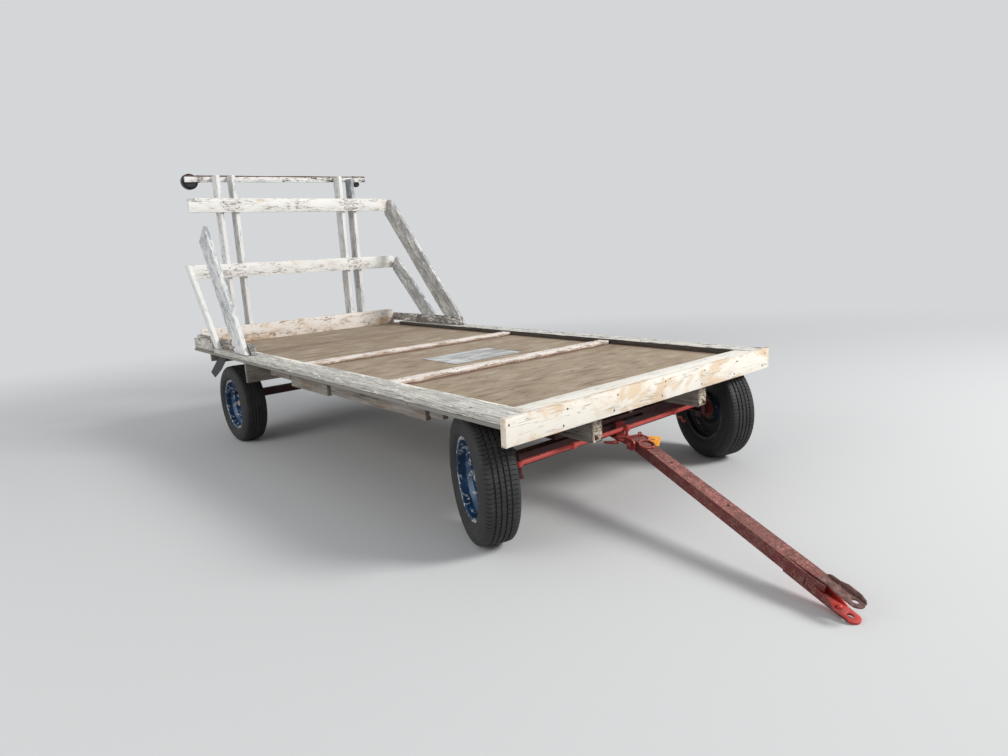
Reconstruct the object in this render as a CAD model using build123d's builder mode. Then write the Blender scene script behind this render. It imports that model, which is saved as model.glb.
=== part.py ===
from build123d import *
from math import asin, atan2, cos, radians, sin, sqrt, tan
import os

# Flat-bed hay wagon on a four-wheel steered running gear, parked with its tongue on the ground.
# Millimetres. +X points forward to the tongue, +Y to the wagon's left, +Z up, ground at Z = 0.
# Distances named back are measured rearward from the front face of the front board.
# The bed is modelled level, then set on the running gear a little nose down when it is saved,
# because the rear of the bed rests on the reach and the front of it on a lower bolster.

# Place of the wagon along X, so that the origin is under the middle of its full length
FRONT_X = 1832.4

# Deck of plywood sheets on flat joists and two deep sills
DECK_LENGTH = 4775.0
DECK_HALF = 1219.0
DECK_TOP = 800.0
BOARD = 38.0
SHEET = 19.0
SHEET_GAP = 3.0
SHEET_WIDTH = 1219.0
FIRST_JOINT_BACK = 1316.0
SIDE_BOARD_WIDTH = 186.0
FRONT_BOARD_DEPTH = 140.0
FRONT_BOARD_HALF = 1226.0
FILLER_WIDTH = 112.0
BATTEN_WIDTH = 96.0
BATTEN_THICK = 28.0
PLATE_THICK = 3.0
JOIST_WIDTH = 89.0
JOIST_HALF = 1060.0
SILL_DEPTH = 196.0
SILL_WIDTH = 76.0
SILL_Y = 510.0
SILL_FRONT_BACK = 70.0
SILL_REAR_BACK = 4737.0
PLY_TOP = DECK_TOP - BOARD
PLY_BOTTOM = PLY_TOP - SHEET
SILL_TOP = PLY_BOTTOM - BOARD
SILL_BOTTOM = SILL_TOP - SILL_DEPTH
INNER_HALF = DECK_HALF - SIDE_BOARD_WIDTH
BED_TILT = 1.6
BED_DROP = 10.0

# Rack at the rear end
RACK_BACK = 4737.0
UPRIGHT_DEPTH = 140.0
RACK_BOARD = 140.0
KICK_DEPTH = 175.0
KICK_Y = 1120.0
BAR_THICK = 26.0
BAR_DEPTH = 54.0
BAR_RIGHT_TOP = 2440.0
BAR_LEFT_TOP = 2499.0
FLOOD_R = 76.0
FLOOD_DEPTH = 72.0
SMALL_LAMP_R = 32.0
SMALL_LAMP_DEPTH = 45.0
BRACE_THICK = 40.0

# Running gear frame
AXLE_BACK = 393.0
WHEELBASE = 3658.0
WHEEL_Y = 1036.0
KINGPIN_Y = 870.0
BEAM_HALF = 35.0
BEAM_BOTTOM = 385.0
BEAM_TOP = 455.0
BUSHING_R = 30.0
BUSHING_BOTTOM = 375.0
BUSHING_TOP = 465.0
KINGPIN_R = 14.0
PIVOT_R = 16.0
BOLSTER_HALF = 567.0
BOLSTER_REACH = 45.0
BOLSTER_BOTTOM = 475.0
STAKE_THICK = 12.0
STAKE_RISE = 105.0
REACH_BOTTOM = 397.0
REACH_TOP = 461.0
REAR_BEAM_BOTTOM = 392.0
REAR_BEAM_TOP = 462.0
REAR_BEAM_HALF = 880.0
RUNNING_FIT = 0.05

# Wheels and tyres
TYRE_R = 360.0
SPINDLE_R = 16.0

# Steering: the tongue turns less than the wheels, through a pin sliding in the yoke's slot
TONGUE_YAW = -19.4
WHEEL_YAW = -22.5
RATIO = WHEEL_YAW / TONGUE_YAW
ARM = 130.0
PIN_LEAD = (RATIO - 1.0) * ARM
LINK_PIN_R = 10.0
ROD_R = 13.5
ROD_Z = 440.0

# Tongue
HINGE_REACH = 280.0
HINGE_Z = 380.0
HINGE_R = 12.5
TONGUE_HALF = 40.0
TONGUE_DEPTH = 64.0
TONGUE_WALL = 5.0
TONGUE_LENGTH = 1298.0
JAW_TIP = 1545.0
JAW_HOLE = 1503.0
JAW_HOLE_R = 14.0
JAW_ROOT = 1180.0
UPPER_JAW = 10.0
LOWER_JAW = 12.0

AXLE_X = FRONT_X - AXLE_BACK
REAR_AXLE_X = AXLE_X - WHEELBASE

# Where the level bed goes: turned nose down over the front axle, and lowered
bed_place = (
    Location((AXLE_X, 0.0, DECK_TOP - BED_DROP))
    * Location((0.0, 0.0, 0.0), (0.0, BED_TILT, 0.0))
    * Location((-AXLE_X, 0.0, -DECK_TOP))
)


def back(distance):
    """X of a point this far behind the front board's face."""
    return FRONT_X - distance


def block(x_span, y_span, z_span, mode=Mode.ADD):
    """A sawn piece between two limits on each axis of the builder's plane."""
    spans = (x_span, y_span, z_span)
    with Locations(tuple((low + high) / 2 for low, high in spans)):
        Box(*(abs(high - low) for low, high in spans), mode=mode)


def side_board(points, first_y, second_y):
    """A board cut to an outline in side view, between two places across the wagon."""
    low, high = min(first_y, second_y), max(first_y, second_y)
    with BuildSketch(Plane.XZ.offset(-high)) as outline:
        with BuildLine():
            Polyline(*points, close=True)
        make_face()
    extrude(outline.sketch, amount=high - low)


def bed_height(x, level):
    """Height above the ground, at this X, of a level of the bed."""
    slope = radians(BED_TILT)
    return DECK_TOP - BED_DROP - (x - AXLE_X) * tan(slope) + (level - DECK_TOP) / cos(slope)


def save(builder, name):
    """Label a finished piece and write its file."""
    builder.part.label = name
    export_step(builder.part, f"parts/{name}.step")


def save_on_bed(builder, name):
    """Set a finished piece of the bed in its place, label it and write its file."""
    placed = bed_place * builder.part
    placed.label = name
    export_step(placed, f"parts/{name}.step")


os.makedirs("parts", exist_ok=True)

# Sills, with the lower front corners worn
with BuildPart() as sills:
    for side, bevel in ((-1, 4.0), (1, 14.0)):
        side_board(
            (
                (back(SILL_REAR_BACK), SILL_TOP),
                (back(SILL_FRONT_BACK), SILL_TOP),
                (back(SILL_FRONT_BACK), SILL_BOTTOM + bevel),
                (back(SILL_FRONT_BACK + bevel), SILL_BOTTOM),
                (back(SILL_REAR_BACK), SILL_BOTTOM),
            ),
            side * (SILL_Y - SILL_WIDTH / 2),
            side * (SILL_Y + SILL_WIDTH / 2),
        )
save_on_bed(sills, "sills")

# Flat joists across the sills, under each sheet joint and between, a tail board on edge, and
# short boards on edge from the sills out to the deck's edges, on both sides of the rear wheels
joist_backs = (83.0, 700.0, 1316.0, 1926.0, 2535.0, 3145.0, 3754.0)
with BuildPart() as cross_joists:
    for place in joist_backs:
        block(
            (back(place + JOIST_WIDTH / 2), back(place - JOIST_WIDTH / 2)),
            (-JOIST_HALF, JOIST_HALF),
            (SILL_TOP, PLY_BOTTOM),
        )
    block(
        (back(DECK_LENGTH), back(RACK_BACK)),
        (-JOIST_HALF, JOIST_HALF),
        (PLY_BOTTOM - RACK_BOARD, PLY_BOTTOM),
    )
    for place, depth in ((3662.0, SILL_DEPTH + BOARD), (4200.0, 89.0)):
        for side in (-1, 1):
            block(
                (back(place + BOARD), back(place)),
                sorted((side * (SILL_Y + SILL_WIDTH / 2 + 1.0), side * (JOIST_HALF + BOARD))),
                (PLY_BOTTOM - depth, PLY_BOTTOM),
            )
save_on_bed(cross_joists, "cross_joists")

# Plywood sheets of the deck, the last one with its right rear corner broken off
joints = [BOARD] + [FIRST_JOINT_BACK + i * SHEET_WIDTH for i in range(3)] + [DECK_LENGTH]
with BuildPart() as deck_sheets:
    for start, end in zip(joints, joints[1:]):
        block(
            (back(end - SHEET_GAP / 2), back(start + SHEET_GAP / 2)),
            (-DECK_HALF, DECK_HALF),
            (PLY_BOTTOM, PLY_TOP),
        )
    with BuildSketch(Plane.XY.offset(PLY_BOTTOM)):
        with BuildLine():
            Polyline(
                (back(DECK_LENGTH + 1.0), -DECK_HALF - 1.0),
                (back(DECK_LENGTH - 75.0), -DECK_HALF - 1.0),
                (back(DECK_LENGTH + 1.0), -DECK_HALF + 69.0),
                close=True,
            )
        make_face()
    extrude(amount=SHEET, mode=Mode.SUBTRACT)
save_on_bed(deck_sheets, "deck_sheets")

# Odd lengths of timber under the deck's edges: front end, rear end, depth
edge_lengths = (
    (668.0, 800.0, 83.0),
    (840.0, 2010.0, 118.0),
    (2070.0, 2690.0, 140.0),
    (2700.0, 3090.0, 96.0),
)
for name, side in (("edge_timbers_right", -1), ("edge_timbers_left", 1)):
    with BuildPart() as edge_timbers:
        for start, end, depth in edge_lengths:
            block(
                (back(end), back(start)),
                sorted((side * JOIST_HALF, side * (JOIST_HALF + BOARD))),
                (PLY_BOTTOM - depth, PLY_BOTTOM),
            )
    save_on_bed(edge_timbers, name)

# Side boards laid flat on the sheets, rounded off at their rear ends
for name, side, rear_back, round_r in (
    ("side_board_right", -1, 4120.0, 8.0),
    ("side_board_left", 1, 4520.0, 60.0),
):
    with BuildPart() as flat_board:
        block(
            (back(rear_back), back(BOARD)),
            sorted((side * INNER_HALF, side * DECK_HALF)),
            (PLY_TOP, DECK_TOP),
        )
        fillet(flat_board.edges().filter_by(Axis.Z).group_by(Axis.X)[0], round_r)
    save_on_bed(flat_board, name)

# Front board on edge, and the filler strip behind it
with BuildPart() as front_board:
    block(
        (back(BOARD), back(0.0)),
        (-FRONT_BOARD_HALF, FRONT_BOARD_HALF),
        (DECK_TOP - FRONT_BOARD_DEPTH, DECK_TOP),
    )
    fillet(front_board.edges().filter_by(Axis.X), 6.0)
save_on_bed(front_board, "front_board")

with BuildPart() as front_filler:
    block(
        (back(BOARD + FILLER_WIDTH), back(BOARD)),
        (-INNER_HALF + 1.0, INNER_HALF - 1.0),
        (PLY_TOP, DECK_TOP),
    )
save_on_bed(front_filler, "front_filler")

# Battens over the first two sheet joints
with BuildPart() as battens:
    for place in (FIRST_JOINT_BACK, FIRST_JOINT_BACK + SHEET_WIDTH):
        block(
            (back(place + BATTEN_WIDTH / 2), back(place - BATTEN_WIDTH / 2)),
            (-INNER_HALF + 2.0, INNER_HALF - 2.0),
            (PLY_TOP, PLY_TOP + BATTEN_THICK),
        )
    chamfer(battens.edges().filter_by(Axis.Y).group_by(Axis.Z)[-1], 4.0)
save_on_bed(battens, "battens")

# Thin repair plate nailed to the second sheet
with BuildPart() as repair_plate:
    block((back(2020.0), back(1580.0)), (-315.0, 340.0), (PLY_TOP, PLY_TOP + PLATE_THICK))
    fillet(repair_plate.edges().filter_by(Axis.Z), 10.0)
save_on_bed(repair_plate, "repair_plate")

# Rear kick board across the sheets, and side kick boards on the side boards
with BuildPart() as rear_kick_board:
    block(
        (back(RACK_BACK + BOARD), back(RACK_BACK)),
        (-KICK_Y, KICK_Y),
        (PLY_TOP, PLY_TOP + KICK_DEPTH),
    )
save_on_bed(rear_kick_board, "rear_kick_board")

with BuildPart() as side_kick_boards:
    for side, front_back, rear_back in ((-1, 3285.0, 4775.0), (1, 3396.0, 4775.0)):
        side_board(
            (
                (back(rear_back), DECK_TOP),
                (back(front_back), DECK_TOP),
                (back(front_back), DECK_TOP + 82.0),
                (back(front_back + 8.0), DECK_TOP + 89.0),
                (back(rear_back), DECK_TOP + 89.0),
            ),
            side * KICK_Y,
            side * (KICK_Y + BOARD),
        )
save_on_bed(side_kick_boards, "side_kick_boards")

# Short length on edge at the right rear corner, where the flat side board is missing
with BuildPart() as corner_board:
    block((back(4755.0), back(4205.0)), (-1197.0, -1159.0), (PLY_TOP, PLY_TOP + 100.0))
save_on_bed(corner_board, "corner_board")

# Rack uprights: place across, height of the top
uprights = ((-755.0, 2448.0), (-601.0, 2454.0), (591.0, 2484.0), (740.0, 2462.0))
UPRIGHT_FOOT = 560.0
upright_front = back(RACK_BACK + BOARD)
upright_rear = back(RACK_BACK + BOARD + UPRIGHT_DEPTH)
with BuildPart() as rack_uprights:
    for place, top in uprights:
        block((upright_rear, upright_front), (place - BOARD / 2, place + BOARD / 2), (UPRIGHT_FOOT, top))
save_on_bed(rack_uprights, "rack_uprights")

# Two boards across the fronts of the uprights, the upper one nailed on a little out of level
rack_boards = (
    ("upper_rack_board", -1080.0, 1158.0, 2078.0, 2102.0),
    ("middle_rack_board", -1158.0, 1183.0, 1434.0, 1434.0),
)
for name, right_end, left_end, right_foot, left_foot in rack_boards:
    with BuildPart() as rack_board:
        with BuildSketch(Plane.YZ.offset(upright_front)):
            with BuildLine():
                Polyline(
                    (right_end, right_foot),
                    (left_end, left_foot),
                    (left_end, left_foot + RACK_BOARD),
                    (right_end, right_foot + RACK_BOARD),
                    close=True,
                )
            make_face()
        extrude(amount=BOARD)
    save_on_bed(rack_board, name)

# Braces in side view: side, inner face, thickness, outline as distance back and height
braces = {
    "long_brace_left": (
        1,
        1159.0,
        38.0,
        ((3374.0, 800.0), (4676.0, 2223.0), (4826.0, 2223.0), (4826.0, 2072.0), (3664.0, 800.0)),
    ),
    "short_brace_right": (
        -1,
        1159.0,
        38.0,
        ((4030.0, 800.0), (4624.0, 1574.0), (4736.0, 1574.0), (4142.0, 800.0)),
    ),
    "short_brace_left": (
        1,
        1159.0,
        38.0,
        ((3830.0, 800.0), (4650.0, 1560.0), (4736.0, 1469.0), (4736.0, 1407.0), (4090.0, 800.0)),
    ),
}
for name, (side, inner, thick, outline) in braces.items():
    with BuildPart() as brace:
        side_board([(back(far), height) for far, height in outline], side * inner, side * (inner + thick))
    save_on_bed(brace, name)

# The loose long brace leans inward: its plane, and its outline as distance back and length up it
LEAN = 3.8
lean_up = (0.0, cos(radians(LEAN)), -sin(radians(LEAN)))
lean_plane = Plane((back(0.0), -1167.0, DECK_TOP), x_dir=(-1, 0, 0), z_dir=lean_up)
lean_outline = ((3315.0, 3.0), (4205.0, 1119.0), (4365.0, 991.0), (3577.0, 3.0))
with BuildPart() as long_brace_right:
    with BuildSketch(lean_plane):
        with BuildLine():
            Polyline(*lean_outline, close=True)
        make_face()
    extrude(amount=-BRACE_THICK)
save_on_bed(long_brace_right, "long_brace_right")

# Light bar across the backs of the uprights, higher on the left, with two lamps behind it
BAR_RIGHT = -1030.0
BAR_LEFT = 990.0
bar_ends = (
    (BAR_RIGHT, BAR_RIGHT_TOP - BAR_DEPTH),
    (BAR_LEFT, BAR_LEFT_TOP - BAR_DEPTH),
    (BAR_LEFT, BAR_LEFT_TOP),
    (BAR_RIGHT, BAR_RIGHT_TOP),
)
with BuildPart() as light_bar:
    with BuildSketch(Plane.YZ.offset(upright_rear - BAR_THICK)):
        with BuildLine():
            Polyline(*bar_ends, close=True)
        make_face()
    extrude(amount=BAR_THICK)
save_on_bed(light_bar, "light_bar")

lamps = (
    ("flood_lamp", -970.0, 2398.0, FLOOD_R, FLOOD_DEPTH),
    ("small_lamp", 892.0, 2423.0, SMALL_LAMP_R, SMALL_LAMP_DEPTH),
)
for name, place, height, radius, depth in lamps:
    with BuildPart() as lamp:
        with BuildSketch(Plane((upright_rear - BAR_THICK, place, height), x_dir=(0, 1, 0), z_dir=(-1, 0, 0))):
            Circle(radius)
        extrude(amount=depth)
        fillet(lamp.edges().group_by(Axis.X)[-1], radius * 0.3)
    save_on_bed(lamp, name)

# Rubber flap hung behind the right rear wheel
flap_outline = ((4050.0, 743.0), (4262.0, 743.0), (4655.0, 507.0), (4550.0, 465.0), (4330.0, 565.0))
with BuildPart() as rubber_flap:
    side_board([(back(far), height) for far, height in flap_outline], -1108.0, -1102.0)
save_on_bed(rubber_flap, "rubber_flap")


def sloping(x_rear, x_front, lows, highs, half_y):
    """A bar between two places along the wagon, with a height at each of its four corners."""
    side_board(
        ((x_rear, lows[0]), (x_front, lows[1]), (x_front, highs[1]), (x_rear, highs[0])),
        -half_y,
        half_y,
    )


def bolster(axle_x, lows, half_x):
    """Steel cross timber under the sills, with a stake at each end."""
    x_rear, x_front = axle_x - half_x, axle_x + half_x
    tops = [bed_height(x, SILL_BOTTOM) for x in (x_rear, x_front)]
    sloping(x_rear, x_front, lows, tops, BOLSTER_HALF)
    for side in (-1, 1):
        block(
            (x_rear, x_front),
            sorted((side * (BOLSTER_HALF - STAKE_THICK), side * BOLSTER_HALF)),
            (lows[0], tops[0] + STAKE_RISE),
        )


# Front bolster on two pads, clear of the yoke's upper plate
with BuildPart() as front_bolster:
    bolster(AXLE_X, (BOLSTER_BOTTOM, BOLSTER_BOTTOM), BOLSTER_REACH)
    for side in (-1, 1):
        block((AXLE_X - 35.0, AXLE_X + 35.0), sorted((side * 250.0, side * 400.0)), (BEAM_TOP, BOLSTER_BOTTOM))
save(front_bolster, "front_bolster")

# Rear bolster on the reach and two posts
rear_lows = [bed_height(REAR_AXLE_X + shift, REACH_TOP) for shift in (-BOLSTER_REACH, BOLSTER_REACH)]
with BuildPart() as rear_bolster:
    bolster(REAR_AXLE_X, rear_lows, BOLSTER_REACH)
    for side in (-1, 1):
        block(
            (REAR_AXLE_X - 35.0, REAR_AXLE_X + 35.0),
            sorted((side * 320.0, side * 390.0)),
            (REAR_BEAM_TOP, max(rear_lows)),
        )
save(rear_bolster, "rear_bolster")

# Front axle: square beam, centre pin and a bushing for each kingpin
with BuildPart() as front_axle:
    block((AXLE_X - BEAM_HALF, AXLE_X + BEAM_HALF), (-KINGPIN_Y, KINGPIN_Y), (BEAM_BOTTOM, BEAM_TOP))
    with BuildSketch(Plane.XY.offset(BUSHING_BOTTOM)):
        with Locations((AXLE_X, -KINGPIN_Y), (AXLE_X, KINGPIN_Y)):
            Circle(BUSHING_R)
    extrude(amount=BUSHING_TOP - BUSHING_BOTTOM)
    with BuildSketch(Plane.XY.offset(362.0)):
        with Locations((AXLE_X, 0.0)):
            Circle(PIVOT_R)
    extrude(amount=BOLSTER_BOTTOM - 362.0)
    with BuildSketch(Plane.XY.offset(BUSHING_BOTTOM)):
        with Locations((AXLE_X, -KINGPIN_Y), (AXLE_X, KINGPIN_Y)):
            Circle(KINGPIN_R + RUNNING_FIT)
    extrude(amount=BUSHING_TOP - BUSHING_BOTTOM, mode=Mode.SUBTRACT)
save(front_axle, "front_axle")

# Rear axle: square beam with a saddle for the reach, and a spindle under each end
rear_span = (REAR_AXLE_X - BEAM_HALF, REAR_AXLE_X + BEAM_HALF)
with BuildPart() as rear_axle:
    block(rear_span, (-REAR_BEAM_HALF, REAR_BEAM_HALF), (REAR_BEAM_BOTTOM, REAR_BEAM_TOP))
    sloping(
        *rear_span,
        (REAR_BEAM_TOP, REAR_BEAM_TOP),
        [bed_height(x, REACH_BOTTOM) for x in rear_span],
        60.0,
    )
    for side in (-1, 1):
        block(
            (REAR_AXLE_X - 32.0, REAR_AXLE_X + 32.0),
            sorted((side * (REAR_BEAM_HALF - 15.0), side * REAR_BEAM_HALF)),
            (310.0, REAR_BEAM_BOTTOM),
        )
        stub_plane = Plane((REAR_AXLE_X, side * REAR_BEAM_HALF, TYRE_R), x_dir=(1, 0, 0), z_dir=(0, side, 0))
        for radius, length in ((26.0, 86.0), (SPINDLE_R, 162.0)):
            with BuildSketch(stub_plane):
                Circle(radius)
            extrude(amount=length)
save(rear_axle, "rear_axle")

# Reach: one long square tube, rising from the front axle to over the rear axle
reach_span = (REAR_AXLE_X - 240.0, AXLE_X - BEAM_HALF)
with BuildPart() as reach_tube:
    sloping(
        *reach_span,
        [bed_height(x, REACH_BOTTOM) for x in reach_span],
        [bed_height(x, REACH_TOP) for x in reach_span],
        32.0,
    )
save(reach_tube, "reach_tube")


def brace_bar(start, end, half_width, z_low, z_high):
    """A flat bar laid between two points in plan."""
    run, across = end[0] - start[0], end[1] - start[1]
    length = sqrt(run * run + across * across)
    bar_plane = Plane((start[0], start[1], z_low), x_dir=(run, across, 0), z_dir=(0, 0, 1))
    with BuildSketch(bar_plane) as outline:
        with Locations((length / 2, 0.0)):
            Rectangle(length, 2 * half_width)
    extrude(outline.sketch, amount=z_high - z_low)


# Braces in plan from the axles to the reach, cut flush with both
with BuildPart() as reach_braces:
    for side in (-1, 1):
        brace_bar((AXLE_X - 20.0, side * 430.0), (AXLE_X - 720.0, side * 20.0), 22.0, 405.0, 435.0)
        brace_bar((REAR_AXLE_X + 20.0, side * 470.0), (REAR_AXLE_X + 980.0, side * 20.0), 22.0, 490.0, 520.0)
        block(
            (REAR_AXLE_X - 5.0, REAR_AXLE_X + 35.0),
            sorted((side * 425.0, side * 485.0)),
            (REAR_BEAM_TOP, 490.0),
        )
    block((REAR_AXLE_X - 400.0, AXLE_X), (-32.0, 32.0), (380.0, 560.0), mode=Mode.SUBTRACT)
    block((AXLE_X - BEAM_HALF, AXLE_X + 100.0), (-600.0, 600.0), (380.0, 480.0), mode=Mode.SUBTRACT)
save(reach_braces, "reach_braces")


# Steering yoke, turned about the axle's centre pin
yoke_x = (cos(radians(TONGUE_YAW)), sin(radians(TONGUE_YAW)), 0.0)
yoke_plane = Plane((AXLE_X, 0.0, 0.0), x_dir=yoke_x, z_dir=(0, 0, 1))
neck_outline = ((0.0, -45.0), (235.0, -57.0), (235.0, 57.0), (0.0, 45.0))
strap_outline = ((0.0, -30.0), (78.0, -30.0), (78.0, 30.0), (0.0, 30.0))
plates = ((370.0, 45.0, neck_outline), (460.0, 32.0, strap_outline))
with BuildPart(yoke_plane) as yoke:
    for low, boss_r, outline in plates:
        with BuildSketch(yoke_plane.offset(low)):
            Circle(boss_r)
            with BuildLine():
                Polyline(*outline, close=True)
            make_face()
        extrude(amount=10.0)
    block((66.0, 78.0), (-30.0, 30.0), (370.0, 470.0))
    block((210.0, 235.0), (-57.0, 57.0), (370.0, 415.0))
    for side in (-1, 1):
        block((235.0, 285.0), sorted((side * 45.0, side * 57.0)), (345.0, 415.0))
        with Locations(Location((283.0, side * 51.0, HINGE_Z), (90, 0, 0))):
            Cylinder(35.0, 12.0)
    with Locations(Location((HINGE_REACH, 0.0, HINGE_Z), (90, 0, 0))):
        Cylinder(HINGE_R, 114.0)
    with BuildSketch(yoke_plane.offset(360.0)):
        Circle(PIVOT_R + RUNNING_FIT)
    extrude(amount=115.0, mode=Mode.SUBTRACT)
    with BuildSketch(yoke_plane.offset(369.0)):
        with Locations((149.0, 0.0)):
            SlotCenterToCenter(14.0, 24.0)
    extrude(amount=12.0, mode=Mode.SUBTRACT)
save(yoke, "yoke")

# Amber plate standing out from the yoke's left ear, facing forward
with BuildPart(yoke_plane) as amber_plate:
    block((300.0, 304.0), (57.0, 122.0), (392.0, 440.0))
save(amber_plate, "amber_plate")

# Tongue, sloping down from the hinge pin until the lower jaw's tip touches the ground
jaw_under = TONGUE_DEPTH / 2 + LOWER_JAW
tip_reach = sqrt(JAW_TIP**2 + jaw_under**2)
droop = asin(HINGE_Z / tip_reach) - atan2(jaw_under, JAW_TIP)
hinge_point = (AXLE_X + HINGE_REACH * yoke_x[0], HINGE_REACH * yoke_x[1], HINGE_Z)
along = (cos(droop) * yoke_x[0], cos(droop) * yoke_x[1], -sin(droop))
upward = (sin(droop) * yoke_x[0], sin(droop) * yoke_x[1], cos(droop))
tongue_plane = Plane(hinge_point, x_dir=along, z_dir=upward)
tube_half = TONGUE_DEPTH / 2
with BuildPart(tongue_plane) as tongue_tube:
    block((-20.0, TONGUE_LENGTH), (-TONGUE_HALF, TONGUE_HALF), (-tube_half, tube_half))
    block(
        (-20.0, TONGUE_LENGTH),
        (TONGUE_WALL - TONGUE_HALF, TONGUE_HALF - TONGUE_WALL),
        (TONGUE_WALL - tube_half, tube_half - TONGUE_WALL),
        mode=Mode.SUBTRACT,
    )
    with Locations(Location((0.0, 0.0, 0.0), (90, 0, 0))):
        Cylinder(HINGE_R + RUNNING_FIT, 2 * TONGUE_HALF, mode=Mode.SUBTRACT)
save(tongue_tube, "tongue_tube")

# Jaws of the hitch, one over and one under the tube: name, foot, thickness, half width
jaws = (
    ("tongue_upper_jaw", tube_half, UPPER_JAW, 32.0),
    ("tongue_lower_jaw", -tube_half - LOWER_JAW, LOWER_JAW, 36.0),
)
for name, foot, thick, half in jaws:
    with BuildPart() as jaw:
        with BuildSketch(tongue_plane.offset(foot)):
            with Locations(((JAW_ROOT + JAW_TIP - half) / 2, 0.0)):
                Rectangle(JAW_TIP - half - JAW_ROOT, 2 * half)
            with Locations((JAW_TIP - half, 0.0)):
                Circle(half)
            with Locations((JAW_HOLE, 0.0)):
                Circle(JAW_HOLE_R, mode=Mode.SUBTRACT)
        extrude(amount=thick)
    save(jaw, name)

# Tie rod between the steering arms, with the pin that runs in the yoke's slot
wheel_heading = (cos(radians(WHEEL_YAW)), sin(radians(WHEEL_YAW)), 0.0)
rod_x = AXLE_X + ARM * wheel_heading[0]
rod_mid_y = ARM * wheel_heading[1]
rod_ends = (rod_mid_y - KINGPIN_Y, rod_mid_y + KINGPIN_Y)
with BuildPart() as tie_rod:
    with BuildSketch(Plane((rod_x, rod_ends[0], ROD_Z), x_dir=(1, 0, 0), z_dir=(0, 1, 0))):
        Circle(ROD_R)
    extrude(amount=2 * KINGPIN_Y)
    with BuildSketch(Plane.XY.offset(ROD_Z - 15.0)):
        with Locations(*((rod_x, end) for end in rod_ends)):
            Circle(20.0)
    extrude(amount=30.0)
    with BuildSketch(Plane.XY.offset(ROD_Z - 10.0)):
        with Locations((rod_x + PIN_LEAD / 2, rod_mid_y)):
            Rectangle(PIN_LEAD, 40.0)
        with Locations((rod_x + PIN_LEAD, rod_mid_y)):
            Circle(20.0)
    extrude(amount=20.0)
    with BuildSketch(Plane.XY.offset(362.0)):
        with Locations((rod_x + PIN_LEAD, rod_mid_y)):
            Circle(LINK_PIN_R)
    extrude(amount=ROD_Z - 10.0 - 362.0)
    with BuildSketch(Plane.XY.offset(ROD_Z - 20.0)):
        with Locations(*((rod_x, end) for end in rod_ends)):
            Circle(LINK_PIN_R + RUNNING_FIT)
    extrude(amount=40.0, mode=Mode.SUBTRACT)
save(tie_rod, "tie_rod")


# Drop-spindle knuckles: two ears, kingpin, web, spindle and steering arm with its pin
WEB_IN = 45.0
WEB_OUT = 60.0
SPINDLE_END = 172.0
for name, side in (("knuckle_right", -1), ("knuckle_left", 1)):
    knuckle_plane = Plane((AXLE_X, side * KINGPIN_Y, 0.0), x_dir=wheel_heading, z_dir=(0, 0, 1))
    with BuildPart(knuckle_plane) as knuckle:
        for low in (360.0, 468.0):
            with BuildSketch(knuckle_plane.offset(low)):
                Circle(32.0)
                with Locations((0.0, side * WEB_OUT / 2)):
                    Rectangle(64.0, WEB_OUT)
            extrude(amount=12.0)
        with BuildSketch(knuckle_plane.offset(360.0)):
            with Locations((ARM / 2, 0.0)):
                Rectangle(ARM, 34.0)
            with Locations((ARM, 0.0)):
                Circle(20.0)
        extrude(amount=12.0)
        with BuildSketch(knuckle_plane.offset(372.0)):
            with Locations((ARM, 0.0)):
                Circle(16.0)
        extrude(amount=51.0)
        with BuildSketch(knuckle_plane.offset(372.0)):
            with Locations((ARM, 0.0)):
                Circle(LINK_PIN_R)
        extrude(amount=103.0)
        with BuildSketch(knuckle_plane.offset(360.0)):
            Circle(KINGPIN_R)
        extrude(amount=120.0)
        block((-32.0, 32.0), sorted((side * WEB_IN, side * WEB_OUT)), (300.0, 480.0))
        with Locations(Location((0.0, side * (WEB_OUT + 18.0), TYRE_R), (90, 0, 0))):
            Cylinder(26.0, 36.0)
        with Locations(Location((0.0, side * (WEB_OUT + SPINDLE_END) / 2, TYRE_R), (90, 0, 0))):
            Cylinder(SPINDLE_R, SPINDLE_END - WEB_OUT)
    save(knuckle, name)

# Wheels. Profiles are distance outboard of the wheel's middle and radius.
tyre_profile = (
    (-77.0, 216.0),
    (-77.0, 231.0),
    (-84.0, 231.0),
    (-91.0, 239.0),
    (-107.0, 275.0),
    (-108.0, 297.0),
    (-97.0, 330.0),
    (-89.0, 348.0),
    (-77.0, 357.0),
    (-46.0, 360.0),
    (46.0, 360.0),
    (77.0, 357.0),
    (89.0, 348.0),
    (97.0, 330.0),
    (108.0, 297.0),
    (107.0, 275.0),
    (91.0, 239.0),
    (84.0, 231.0),
    (77.0, 231.0),
    (77.0, 216.0),
    (57.0, 216.0),
    (64.0, 239.0),
    (81.0, 275.0),
    (82.0, 310.0),
    (70.0, 333.0),
    (-70.0, 333.0),
    (-82.0, 310.0),
    (-81.0, 275.0),
    (-64.0, 239.0),
    (-57.0, 216.0),
)
rim_profile = (
    (-84.0, 231.0),
    (-77.0, 231.0),
    (-77.0, 216.0),
    (-46.0, 214.0),
    (-34.0, 191.0),
    (10.0, 191.0),
    (35.0, 213.0),
    (77.0, 216.0),
    (77.0, 231.0),
    (84.0, 231.0),
    (84.0, 227.0),
    (81.0, 211.0),
    (37.0, 208.0),
    (12.0, 186.0),
    (-20.0, 186.0),
    (-24.0, 120.0),
    (-4.0, 92.0),
    (-28.0, 82.0),
    (-28.0, 42.0),
    (-34.0, 42.0),
    (-34.0, 86.0),
    (-12.0, 93.0),
    (-30.0, 120.0),
    (-26.0, 186.0),
    (-35.0, 186.0),
    (-49.0, 209.0),
    (-81.0, 211.0),
    (-84.0, 227.0),
)
bore = SPINDLE_R + RUNNING_FIT
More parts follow.
